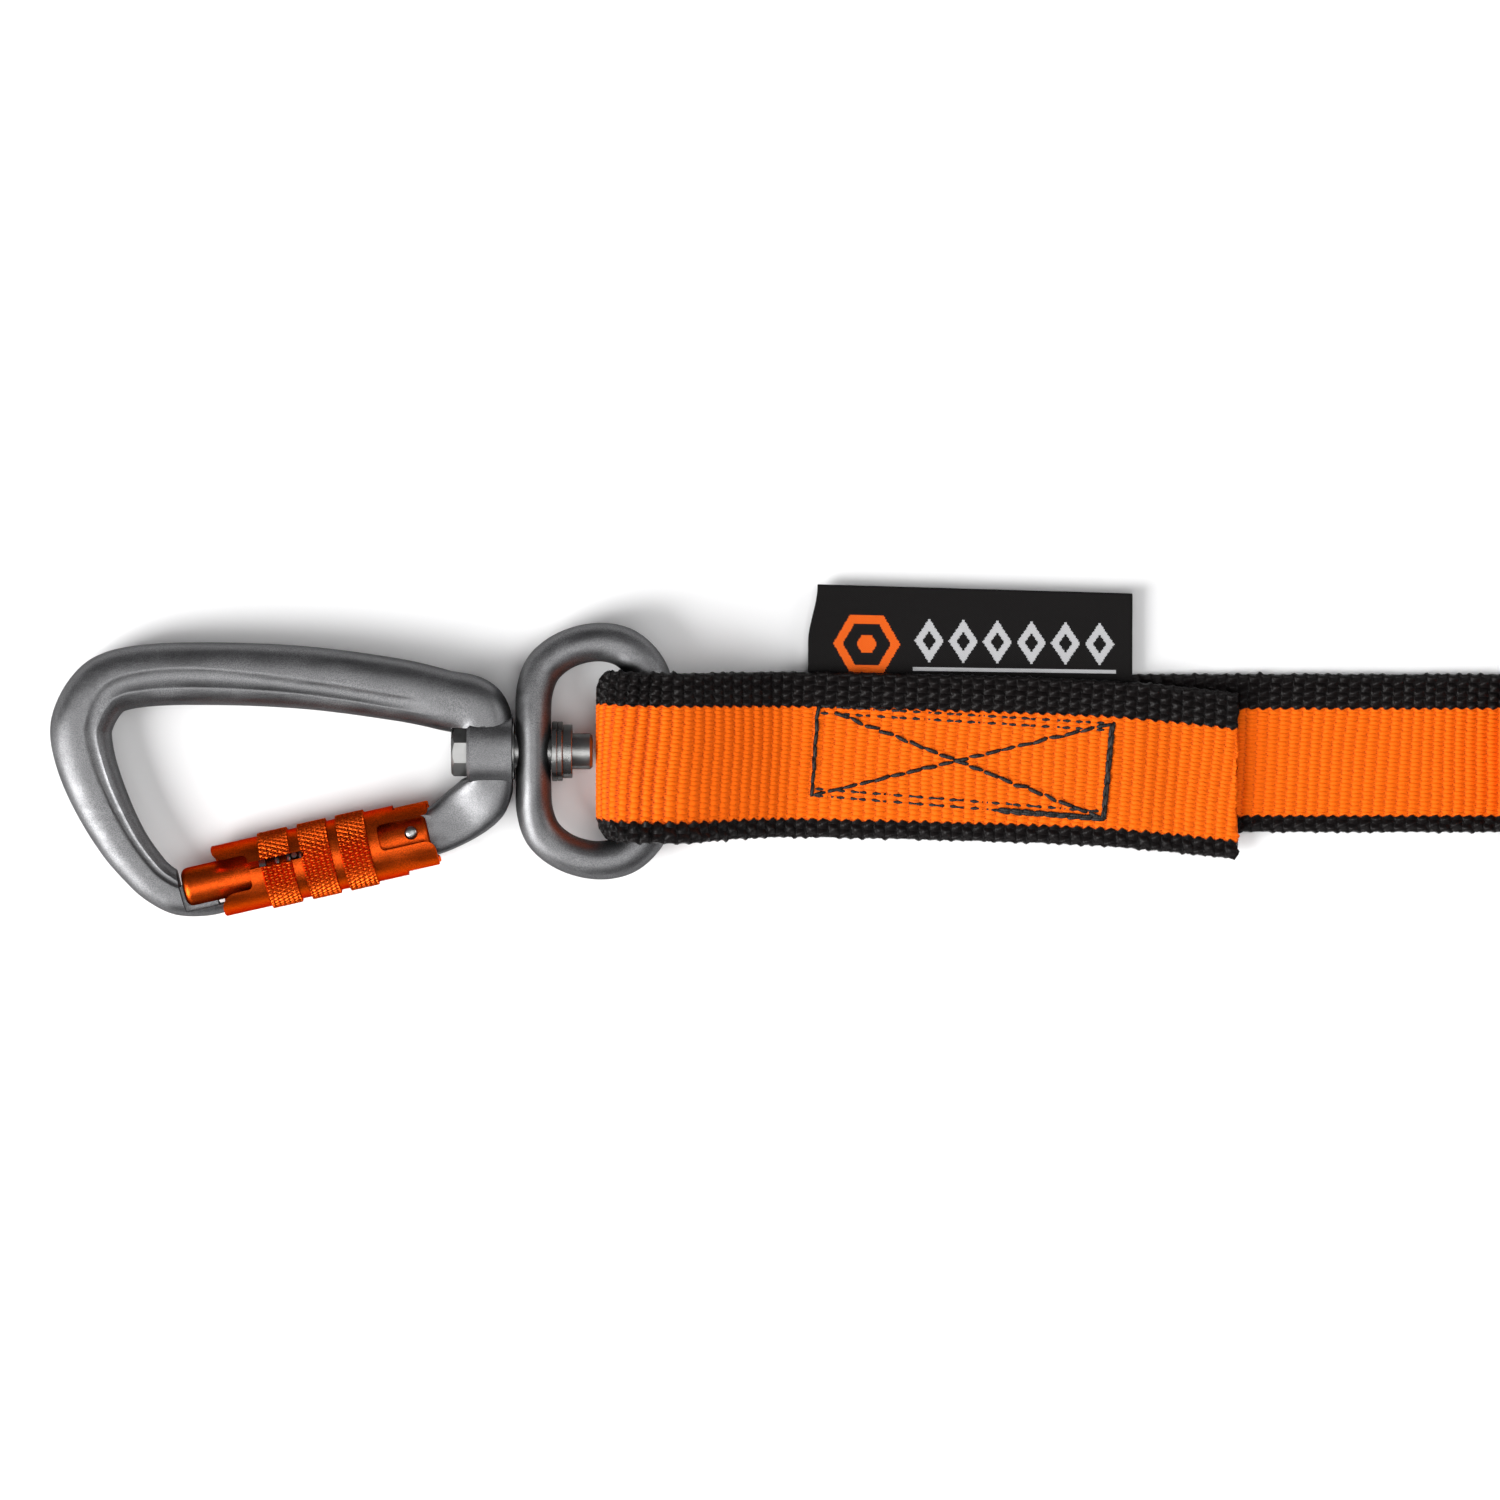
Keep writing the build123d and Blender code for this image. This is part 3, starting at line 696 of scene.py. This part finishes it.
def make_webbing(name, route, spacing, columns, along_start, lay):
    """Ribbed webbing that follows a side view.

    lay(x, z) gives the middle's y, and how far the upper and the lower edge draw in. Returns
    the piece, its length in metres, and the number of points in each of its rings.
    """
    points = evenly(route, spacing)
    base = strip_section(WEB_WIDTH / 2, WEB_THICK / 2, columns)
    line = [(x, lay(x, z)[0], z) for x, z in points]
    facts = []

    def section(row):
        x, z = points[row]
        along = along_start + row * spacing
        behind, beyond = points[max(row - 1, 0)], points[min(row + 1, len(points) - 1)]
        heading = (beyond[0] - behind[0]) / (2 * spacing)
        _, upper, lower = lay(x, z)
        opened = ease(x, *OPENING) * ease(z, 4, 8)
        curling = CURL * ease(x, *CURLING)
        lifting = LIFT * ease(z, 8, 10) * ease(abs(x - LIFT_X), *LIFTING)
        ring = []
        for w, lift in base:
            phase = rib_phase(along, w, heading)
            groove = (1 - abs(cos(pi * phase)) ** 0.8) * (0.8 + 0.7 * opened)
            bead = abs(sin(pi * (w / BEAD + 0.5 * floor(phase + 0.5))))
            sink = RIB_DEPTH * groove + BEAD_DEPTH * ease(abs(w), *SELVEDGE) * (1 - bead)
            lift *= 1 - sink / (WEB_THICK / 2)
            lift += lifting * ease(-w, *LIFT_BAND) - curling * ease(abs(w), *CURL_BAND)
            uneven = 0.6 + noise.noise(Vector((along / 1.3, w, 5.5)))
            bulge = BULGE * uneven * ease(abs(w), *RIM) * (cos(2 * pi * phase) - 0.6)
            spread = lower * ease(-w, *SPREAD) - upper * ease(w, *SPREAD)
            ring.append((w + copysign(bulge, w) + spread, lift))
            facts.append((phase, w, groove))
        return ring

    webbing = ribbon(name, line, (0, 1, 0), section)
    give_points(webbing, "weave", facts)
    return webbing, spacing * (len(line) - 1) * MM, len(base)


# x, the middle's y, and how far the upper and the lower edge draw in
UPPER_LAY = [
    (80.0, 0.8, 0.2, -1.9),
    (100.0, 0.4, 0.2, -1.9),
    (112.0, 0.0, 0.0, -1.2),
    (141.0, -0.85, -0.3, -0.9),
    (166.0, -1.75, -0.3, -0.9),
    (178.6, -2.85, -0.4, -1.0),
    (188.0, -3.95, -0.4, -1.0),
]
CUT_ROWS, CUT_WANDER = 3, 0.7     # rings that share in the cut end's unevenness, and its size


def make_lead():
    """The strap from the sewn tail, round the bow's bar, to where the hank starts."""
    stations = smooth_way(UPPER_LAY, 1.0)

    def lay(x, z):
        """The stations count in full on the upper layer, and less and less round the bar."""
        top = CREST[1] - ease(x, CREST[0], TAIL_START) * (CREST[1] - TAIL_LAYER)
        share = ease((z - LOW_LAYER) / (top - LOW_LAYER) * 1.3, 0, 1)
        _, y, upper, lower = min(stations, key=lambda station: abs(station[0] - x))
        return WEB_Y + share * (y - WEB_Y), share * upper, share * lower

    lead, length, around = make_webbing("webbing_lead", loop_route(), 0.31, 55, 0.0, lay)
    for row in range(CUT_ROWS):
        for vertex in lead.data.vertices[row * around:(row + 1) * around]:
            uneven = noise.noise(Vector((vertex.co.y / MM / 1.3, vertex.co.z / MM, 2.2)))
            vertex.co.x += CUT_WANDER * uneven * (1 - row / CUT_ROWS) * MM
    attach(lead, "lead")
    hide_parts("webbing_strap", "webbing_tail")
    return lead, length


def make_hank(along_start):
    """The rest of the webbing, folded back and forth, with the hand loop on top."""
    def lay(x, z):
        drift = 0.5 * noise.noise(Vector((x / 90, z / LAYER, 7.7))) * (1 - under_tie(x))
        return WEB_Y + drift * ease(z, LOW_LAYER, LOW_LAYER + LAYER), 0.0, 0.0

    hank, length, _ = make_webbing("webbing_hank_folds", hank_route(), 0.44, 19, along_start, lay)
    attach(hank, "lead")
    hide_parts("webbing_hank", "hand_loop")
    return hank


def make_label():
    """The woven label, folded double at its top edge, its lower half under the tail."""
    low, high = LABEL_LAYERS
    root, top = 0.3, LABEL_TOP - 0.4
    side_view = straight((root, high), (top, high), 0.4)
    side_view += bend((top, (high + low) / 2), (high - low) / 2, 90, -90, 0.08)
    side_view += straight((top, low), (root, low), 0.4)
    middle = sum(LABEL) / 2
    width = LABEL[1] - LABEL[0]
    base = strip_section(width / 2, LABEL_CLOTH / 2, 120)
    line = [(middle, y, z) for y, z in side_view]
    facts = []

    def section(row):
        y, z = side_view[row]
        ring = []
        for w, lift in base:
            lean = LABEL_LEAN * ease(y, LABEL_TOP - 9.4, LABEL_TOP - 0.4) * ease(-w, 21, 26)
            ring.append((w + lean, lift))
            facts.append((w + lean + width / 2, y, 1.0 if z > (low + high) / 2 else 0.0))
        return ring

    label = ribbon("label_cloth", line, (1, 0, 0), section)
    for vertex in label.data.vertices:
        across = (vertex.co.x - DRAWING_X) / MM - LABEL[0]
        share = vertex.co.y / MM / LABEL_TOP
        vertex.co.y -= share * (LABEL_FALL * across / width) * MM
    give_points(label, "print", facts)
    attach(label, "lead")
    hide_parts("woven_label")
    return label


def make_tie():
    """The hook-and-loop strap round the hank, its end lapped over its start."""
    corner, step = 2.2, 0.3
    half = WEB_WIDTH / 2 + 0.2 + TIE_THICK / 2
    left, right = WEB_Y - half, WEB_Y + half
    low, top = TIE_THICK / 2 + 0.05, LAYER * LAYERS + 0.75
    corners = [(left + corner, top - corner), (left + corner, low + corner),
               (right - corner, low + corner), (right - corner, top - corner)]
    lap = [(WEB_Y + 8, top), (WEB_Y + 5, top + TIE_LAP), (WEB_Y - 7, top + TIE_LAP)]
    view = []
    here = (WEB_Y + 4, top)
    for number, middle in enumerate(corners):
        turn = 90 + 90 * number
        arc = bend(middle, corner, turn, turn + 90, step)
        view += straight(here, arc[0], step) + arc
        here = arc[-1]
    for place in lap:
        view += straight(here, place, step)
        here = place
    middle = sum(TIE) / 2
    base = strip_section((TIE[1] - TIE[0]) / 2, TIE_THICK / 2, 60)
    facts = []

    def section(row):
        ring = []
        for w, lift in base:
            fuzz = noise.noise(Vector((w * 1.6, row * 0.5, lift * 3)))
            edge = ease(abs(w), *TIE_EDGE)
            ring.append((w, lift * (0.9 + 0.12 * (fuzz - edge))))
            facts.append((w, row * step, edge))
        return ring

    tie = ribbon("tie_strap", [(middle, y, z) for y, z in view], (1, 0, 0), section)
    give_points(tie, "pile", facts)
    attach(tie, "lead")
    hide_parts("hank_tie")
    return tie


# ---- sewing ----
SUNK = 0.35                   # depth of a stitch's ends under the face


def stitch(start, end, face, rise):
    """One stitch between two (x, y) points of a face, its ends sunk in the face."""
    points = []
    for k in range(7):
        share = k / 6
        z = face - SUNK + (SUNK + rise - THREAD) * sin(pi * share) ** 0.6
        points.append((*Vector(start).lerp(Vector(end), share), z))
    return tube(points, THREAD + rise / 8)


def seam(start, end, face, pitch=3.0, share=0.8, rise=0.3, wander=0.15):
    """A row of stitches that stand out by about the given rise, and wander a little."""
    start, way = Vector(start), Vector(end) - Vector(start)
    side = Vector((-way.y, way.x)).normalized()
    count = max(1, round(way.length / pitch))
    rows = []
    for k in range(count):
        first, last = k / count, (k + share) / count
        shift = wander * noise.noise(Vector((start.x + 1.7 * k, start.y, face + rise)))
        pull = 1 + 0.8 * noise.noise(Vector((start.x, 2.3 * k, face)))
        rows.append(stitch(start + way * first + side * shift, start + way * last - side * shift,
                           face, rise * pull))
    return rows


def dense_seam(start, end, face, passes):
    """Stitches sewn over each other until they make a solid line."""
    rows = []
    for turn in range(passes):
        shift = Vector((0.32, 0.32)) * (turn - (passes - 1) / 2)
        rows += seam(Vector(start) + shift, Vector(end) + shift, face, pitch=1.9, share=1.1,
                     rise=0.35, wander=0.3)
    return rows


def box_pattern(corners, face):
    """A box stitch with a cross: dense at its two ends, sunk in the ribs along its sides."""
    top_left, top_right, low_right, low_left = (Vector(corner) for corner in corners)
    rows = dense_seam(top_left, low_left, face, 1) + dense_seam(top_right, low_right, face, 2)
    rows += dense_seam(low_left.lerp(low_right, 0.64), low_right, face, 2)
    for inset in (0.0, -1.1):
        down = Vector((0, inset))
        rows += seam(top_left + down, top_right + down, face, rise=0.02)
        rows += seam(low_left - down, low_right - down, face, rise=0.04)
    cross = {"pitch": 2.6, "share": 0.9, "wander": 0.6}
    rows += seam(top_left.lerp(low_right, 0.06), low_right, face, rise=0.36, **cross)
    rows += seam(low_left, top_right, face, rise=0.34, **cross)
    return rows


def mirrored(row, face, under):
    """The same stitch on the lower face."""
    verts, faces = row
    return [(x, y, under + face - z) for x, y, z in verts], faces


def make_sewing(name, node, corners, face, under):
    """Box stitch that shows on the upper face and on the face below."""
    rows = box_pattern(corners, face)
    rows += [mirrored(row, face, under) for row in rows]
    sewing = make_piece(name, *merged(rows), place=SURFACE)
    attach(sewing, "lead")
    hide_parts(node)
    return sewing


# ---- materials ----
class Paint:
    """A material, with a short way to wire its nodes."""

    def __init__(self, name, slot, **settings):
        self.material = bpy.data.materials.new(name)
        self.material.use_nodes = True
        self.tree = self.material.node_tree
        self.shader = self.tree.nodes["Principled BSDF"]
        self.slot = slot
        self.place = self.tree.nodes.new("ShaderNodeTexCoord").outputs["Object"]
        for key, value in settings.items():
            self.feed(self.shader.inputs[key.replace("_", " ")], value)

    def feed(self, socket, value):
        """Give an input a plain value or another node's output."""
        if isinstance(value, bpy.types.NodeSocket):
            self.tree.links.new(value, socket)
        else:
            socket.default_value = value

    def math(self, operation, *values):
        node = self.tree.nodes.new("ShaderNodeMath")
        node.operation = operation
        for socket, value in zip(node.inputs, values):
            self.feed(socket, value)
        return node.outputs[0]

    def plus(self, first, second):
        return self.math("ADD", first, second)

    def minus(self, first, second):
        return self.math("SUBTRACT", first, second)

    def times(self, first, second):
        return self.math("MULTIPLY", first, second)

    def arches(self, value):
        """0 at every whole number, 1 halfway between them."""
        return self.math("ABSOLUTE", self.math("SINE", self.times(value, pi)))

    def between(self, value, low, high, start=0.0, end=1.0):
        """start below low, end above high, and a smooth change between them."""
        node = self.tree.nodes.new("ShaderNodeMapRange")
        node.interpolation_type = "SMOOTHSTEP"
        for name, number in (("From Min", low), ("From Max", high), ("To Min", start),
                             ("To Max", end)):
            node.inputs[name].default_value = number
        self.feed(node.inputs["Value"], value)
        return node.outputs["Result"]

    def noise(self, size, detail=3.0, stretch=(1, 1, 1)):
        """Soft noise with features of about that many millimetres."""
        spread = self.tree.nodes.new("ShaderNodeMapping")
        spread.inputs["Scale"].default_value = [1 / (size * MM * way) for way in stretch]
        self.feed(spread.inputs["Vector"], self.place)
        node = self.tree.nodes.new("ShaderNodeTexNoise")
        node.inputs["Scale"].default_value = 1.0
        node.inputs["Detail"].default_value = detail
        self.feed(node.inputs["Vector"], spread.outputs[0])
        return node.outputs["Fac"]

    def mix(self, share, first, second):
        """A colour between two others."""
        node = self.tree.nodes.new("ShaderNodeMix")
        node.data_type = "RGBA"
        self.feed(node.inputs[0], share)
        self.feed(node.inputs[6], first)
        self.feed(node.inputs[7], second)
        return node.outputs[2]

    def facts(self, name):
        """The three numbers stored on the piece's vertices."""
        source = self.tree.nodes.new("ShaderNodeAttribute")
        source.attribute_name = name
        split = self.tree.nodes.new("ShaderNodeSeparateXYZ")
        self.feed(split.inputs[0], source.outputs["Vector"])
        return tuple(split.outputs)

    def colour(self, value):
        self.feed(self.shader.inputs["Base Color"], value)

    def bump(self, height, depth, under=None):
        """Relief of that many millimetres, on top of another one if it is given."""
        node = self.tree.nodes.new("ShaderNodeBump")
        node.inputs["Distance"].default_value = depth * MM
        self.feed(node.inputs["Height"], height)
        if under is not None:
            self.feed(node.inputs["Normal"], under)
        self.feed(self.shader.inputs["Normal"], node.outputs[0])
        return node.outputs[0]

    def on(self, *pieces):
        for piece in pieces:
            piece.data.materials.clear()
            piece.data.materials.append(self.material)


def metal(name, slot, base, edge, roughness, grain, turned=False):
    """Bare or dyed metal: cloudy gloss, speckled grain, and faint handling marks.

    The edge colour tints what is reflected at a grazing angle.
    """
    paint = Paint(name, slot, Metallic=1.0, Specular_Tint=(*edge, 1))
    clouds = paint.noise(6.0, 4.0)
    dark, darker = [0.8 * tone for tone in base], [0.6 * tone for tone in base]
    body = paint.mix(paint.between(clouds, 0.35, 0.7), (*dark, 1), (*base, 1))
    speckle = paint.between(paint.noise(grain, 1.0), 0.65, 0.35, 0.0, 0.0 if turned else 1.0)
    paint.colour(paint.mix(speckle, body, (*darker, 1)))
    wear = paint.noise(1.1, 5.0, (6, 1, 1))
    gloss = paint.plus(paint.between(clouds, 0.3, 0.7, -0.04, 0.05),
                       paint.between(wear, 0.35, 0.65, -0.03, 0.04))
    paint.feed(paint.shader.inputs["Roughness"], paint.plus(gloss, roughness))
    stretch = (0.12, 9, 9) if turned else (1, 1, 1)
    under = paint.bump(paint.noise(grain, 2.0, stretch), 0.012 if turned else 0.032)
    paint.bump(paint.noise(2.6, 2.0), 0.03, under)
    return paint


ORANGE = (0.93, 0.135, 0.001, 1)
# the webbing's orange in painted shade, for deep in its grooves
SHADED_ORANGE = (0.28, 0.02, 0.001, 1)
BLACK = (0.0015, 0.0012, 0.0012, 1)
SOFT_BLACK = (0.007, 0.0055, 0.0055, 1)
# black lightened by painted sheen, for the tops of the label's twill ridges
TWILL_SHEEN_BLACK = (0.013, 0.012, 0.012, 1)
THREAD_SHEEN = (0.03, 0.027, 0.026, 1)
PILE_SHEEN = (0.04, 0.04, 0.042, 1)
LABEL_ORANGE = (0.78, 0.12, 0.012, 1)
LABEL_GREY = (0.50, 0.50, 0.51, 1)


def webbing_paint():
    """Nylon webbing: orange between black edges, with its warp yarns, and painted shade that
    darkens its grooves and the gaps between yarns in them.
    """
    paint = Paint("nylon_webbing", "webbing", Specular_IOR_Level=0.12)
    phase, across, groove = paint.facts("weave")
    rib = paint.math("FLOOR", paint.plus(phase, 0.5))
    shift = paint.times(rib, 0.5)
    strand = paint.arches(paint.plus(paint.math("DIVIDE", across, YARN), shift))
    scallop = paint.times(paint.math("COSINE", paint.times(phase, 2 * pi)), 0.17)
    frayed = paint.times(paint.minus(paint.noise(0.5), 0.5), 0.35)
    edge = paint.plus(across, frayed)
    above = paint.between(paint.plus(edge, scallop), BANDS[1] - 0.12, BANDS[1] + 0.12)
    below = paint.between(paint.minus(edge, scallop), BANDS[0] + 0.12, BANDS[0] - 0.12)
    black = paint.math("MAXIMUM", above, below)
    # painted shade: darker deep in the ribs' grooves, and darker still in the gaps between yarns
    # there
    groove_shade = paint.between(groove, 0.3, 0.9)
    gap = paint.between(strand, 0.45, 0.0)
    yarn_gap_shade = paint.times(paint.between(groove, 0.25, 0.7), gap)
    fibres = paint.noise(0.14, 3.0, (9, 1, 1))
    shade_and_fibre_tone = paint.plus(paint.times(groove_shade, 0.45), paint.times(yarn_gap_shade, 0.6))
    shade_and_fibre_tone = paint.plus(shade_and_fibre_tone, paint.between(fibres, 0.3, 0.7, 0.12, -0.08))
    # the painted shade darkens the orange and the black edges alike; the fibre noise in it is a
    # real tone
    orange = paint.mix(shade_and_fibre_tone, ORANGE, SHADED_ORANGE)
    dark = paint.mix(shade_and_fibre_tone, SOFT_BLACK, BLACK)
    paint.colour(paint.mix(black, orange, dark))
    bead = paint.arches(paint.plus(paint.math("DIVIDE", across, BEAD), shift))
    strand = paint.times(strand, paint.minus(0.35, paint.times(black, 0.35)))
    height = paint.plus(strand, paint.times(bead, black))
    under = paint.bump(paint.times(height, paint.minus(1.0, groove)), 0.45)
    paint.bump(fibres, 0.03, under)
    paint.feed(paint.shader.inputs["Roughness"], paint.between(black, 0.0, 1.0, 0.7, 0.42))
    return paint


def hexagon(paint, x, y):
    """Distance from a hexagon's middle to the side that a place is towards."""
    x, y = paint.math("ABSOLUTE", x), paint.math("ABSOLUTE", y)
    slant = paint.plus(paint.times(x, cos(pi / 6)), paint.times(y, 0.5))
    return paint.math("MAXIMUM", slant, y)


def inside(paint, value, low, high):
    """1 where a value is between two limits."""
    return paint.times(paint.math("GREATER_THAN", value, low),
                       paint.math("LESS_THAN", value, high))


def label_paint():
    """Black twill with a woven hexagon, a row of lozenges and a line.

    Places are given in millimetres from the label's lower left corner.
    """
    hexagon_x, hexagon_y = 9.2, 16.9
    row_start, row_end, row_y = 16.4, 48.7, 17.6
    paint = Paint("label_twill", "label", Roughness=0.75, Specular_IOR_Level=0.07)
    across, up, front = paint.facts("print")
    thread = 0.2
    u, v = (paint.times(paint.math("FLOOR", paint.math("DIVIDE", value, thread)), thread)
            for value in (across, up))
    ring = hexagon(paint, paint.minus(u, hexagon_x), paint.minus(v, hexagon_y))
    mark = paint.math("MAXIMUM", inside(paint, ring, 3.3, 4.6), inside(paint, ring, -1.0, 1.4))
    pitch = 5.4
    cell = paint.math("MODULO", paint.minus(u, row_start), pitch)
    wide = paint.math("ABSOLUTE", paint.minus(cell, pitch / 2))
    tall = paint.math("ABSOLUTE", paint.minus(v, row_y))
    lozenge = paint.plus(paint.math("DIVIDE", wide, 2.3), paint.math("DIVIDE", tall, 3.6))
    row = inside(paint, lozenge, 0.45, 1.0)
    line = inside(paint, v, 12.6, 13.3)
    grey = paint.times(paint.math("MAXIMUM", row, line), inside(paint, u, row_start, row_end))
    twill = paint.plus(paint.math("DIVIDE", across, 0.26), paint.math("DIVIDE", up, 0.3))
    wave = paint.arches(twill)
    # painted sheen on the twill's ridges and painted shade in its furrows, following the same wave
    # as its relief
    base = paint.mix(wave, BLACK, TWILL_SHEEN_BLACK)
    base = paint.mix(paint.times(mark, front), base, LABEL_ORANGE)
    base = paint.mix(paint.times(grey, front), base, LABEL_GREY)
    paint.colour(paint.mix(paint.between(wave, 0.6, 0.0, 0.0, 0.35), base, BLACK))
    under = paint.bump(wave, 0.05)
    paint.bump(paint.noise(0.15, 2.0), 0.02, under)
    return paint


def thread_paint():
    """Twisted black polyester thread."""
    paint = Paint("bonded_thread", "thread", Roughness=0.55, Specular_IOR_Level=0.25)
    twist = paint.noise(0.3, 2.0, (0.5, 2, 2))
    paint.colour(paint.mix(paint.between(twist, 0.35, 0.65), BLACK, THREAD_SHEEN))
    paint.bump(twist, 0.05)
    return paint


def tie_paint():
    """Black hook-and-loop strap: a tangled pile between woven edges."""
    paint = Paint("hook_and_loop", "tie_band", Roughness=0.85, Specular_IOR_Level=0.2)
    _, along, edge = paint.facts("pile")
    pile = paint.noise(0.45, 4.0)
    weave = paint.arches(paint.math("DIVIDE", along, 0.6))
    height = paint.plus(paint.times(weave, edge), paint.times(pile, paint.minus(1.2, edge)))
    paint.colour(paint.mix(paint.between(height, 0.2, 0.9), BLACK, PILE_SHEEN))
    paint.bump(height, 0.3)
    return paint


# ---- camera, light and floor ----
VIEW_WIDTH = 0.2373
VIEW_MIDDLE = Vector((-0.1009, 0.0002, MIDDLE))
VIEW_TILT = radians(4)
VIEW_DISTANCE = 1.3


# name, place, width and height, watts
LIGHTS = [
    ("left", (-0.8, -0.38, 0.52), (0.5, 0.8), 16.0),
    ("above", (0.0, -0.1, 1.15), (1.0, 0.6), 5.5),
    ("right", (0.8, 0.25, 0.6), (0.4, 0.6), 3.0),
]
# how high up the sky, and its colour there
SKY = [(0.15, (0.10, 0.10, 0.105, 1)), (0.95, (0.16, 0.16, 0.165, 1))]


def add_light(name, place, size, power):
    """A soft light that points at the middle of the view."""
    light = bpy.data.lights.new(name, "AREA")
    light.shape = "RECTANGLE"
    light.size, light.size_y = size
    light.energy = power
    lamp = bpy.data.objects.new(name, light)
    lamp.location = place
    lamp.rotation_euler = (VIEW_MIDDLE - Vector(place)).to_track_quat("-Z", "Y").to_euler()
    bpy.context.collection.objects.link(lamp)


def make_studio():
    """Camera, a pale floor, three soft lights and a sky that is darker at the horizon."""
    lens = bpy.data.cameras.new("camera")
    lens.sensor_width = 36.0
    lens.lens = lens.sensor_width * VIEW_DISTANCE / VIEW_WIDTH
    camera = bpy.data.objects.new("camera", lens)
    back = Vector((0, sin(VIEW_TILT), cos(VIEW_TILT)))
    camera.location = VIEW_MIDDLE + back * VIEW_DISTANCE
    camera.rotation_euler = (-VIEW_TILT, 0, 0)
    bpy.context.collection.objects.link(camera)
    bpy.context.scene.camera = camera

    floor_paint = Paint("paper", "", Roughness=0.95)
    tone = floor_paint.noise(60.0, 2.0)
    floor_paint.colour(floor_paint.mix(tone, (0.86, 0.86, 0.86, 1), (0.9, 0.9, 0.9, 1)))
    paper = block("floor", (-2500, 2500), (-2500, 2500), (-20, 0), SURFACE)
    paper.data.materials.append(floor_paint.material)

    for light in LIGHTS:
        add_light(*light)

    world = bpy.data.worlds.new("studio")
    world.use_nodes = True
    bpy.context.scene.world = world
    tree = world.node_tree
    place = tree.nodes.new("ShaderNodeTexCoord")
    split = tree.nodes.new("ShaderNodeSeparateXYZ")
    ramp = tree.nodes.new("ShaderNodeValToRGB")
    tree.links.new(place.outputs["Generated"], split.inputs[0])
    tree.links.new(split.outputs["Z"], ramp.inputs[0])
    for stop, (position, colour) in zip(ramp.color_ramp.elements, SKY):
        stop.position = position
        stop.color = colour
    tree.links.new(ramp.outputs[0], tree.nodes["Background"].inputs[0])
    bpy.context.scene.view_settings.view_transform = "Standard"


# ---- the scene ----
make_studio()

aluminium = metal("bead_blasted_aluminium", "forged_aluminium", (0.215, 0.215, 0.22),
                  (0.35, 0.35, 0.35), 0.44, 0.16)
anodised = metal("orange_anodising", "orange_anodised", (0.74, 0.088, 0.008),
                 (0.28, 0.06, 0.01), 0.38, 0.2)
steel = metal("turned_steel", "steel", (0.30, 0.30, 0.295), (0.4, 0.4, 0.4), 0.3, 0.3,
              turned=True)
aluminium.on(make_frame(), make_bow())
anodised.on(make_sleeve(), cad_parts["gate"])
steel.on(*make_springs(), make_rivet())
STEEL_NODES = ("swivel_bolt", "hub_washer", "bow_washer", "spring_washer", "swivel_nut",
               "lock_guide_pin", "gate_plunger", "sleeve_thrust_ring")
steel.on(*(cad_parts[name] for name in STEEL_NODES))

lead, lead_length = make_lead()
hank = make_hank(lead_length / MM)
webbing_paint().on(lead, hank)
label_paint().on(make_label())

TAIL_CORNERS = ((121.4, 7.1), (168.0, 4.3), (166.6, -10.8), (120.4, -7.1))
HANDLE_CORNERS = ((377.9, 7.5), (416.1, 7.5), (416.1, -8.5), (377.9, -8.5))
thread = thread_paint()
thread.on(make_sewing("box_sewing", "lead_stitch", TAIL_CORNERS, 4.9, 0.45),
          make_sewing("handle_sewing", "handle_stitch", HANDLE_CORNERS, LAYER * LAYERS - 0.2, 6.5))
tie_paint().on(make_tie())
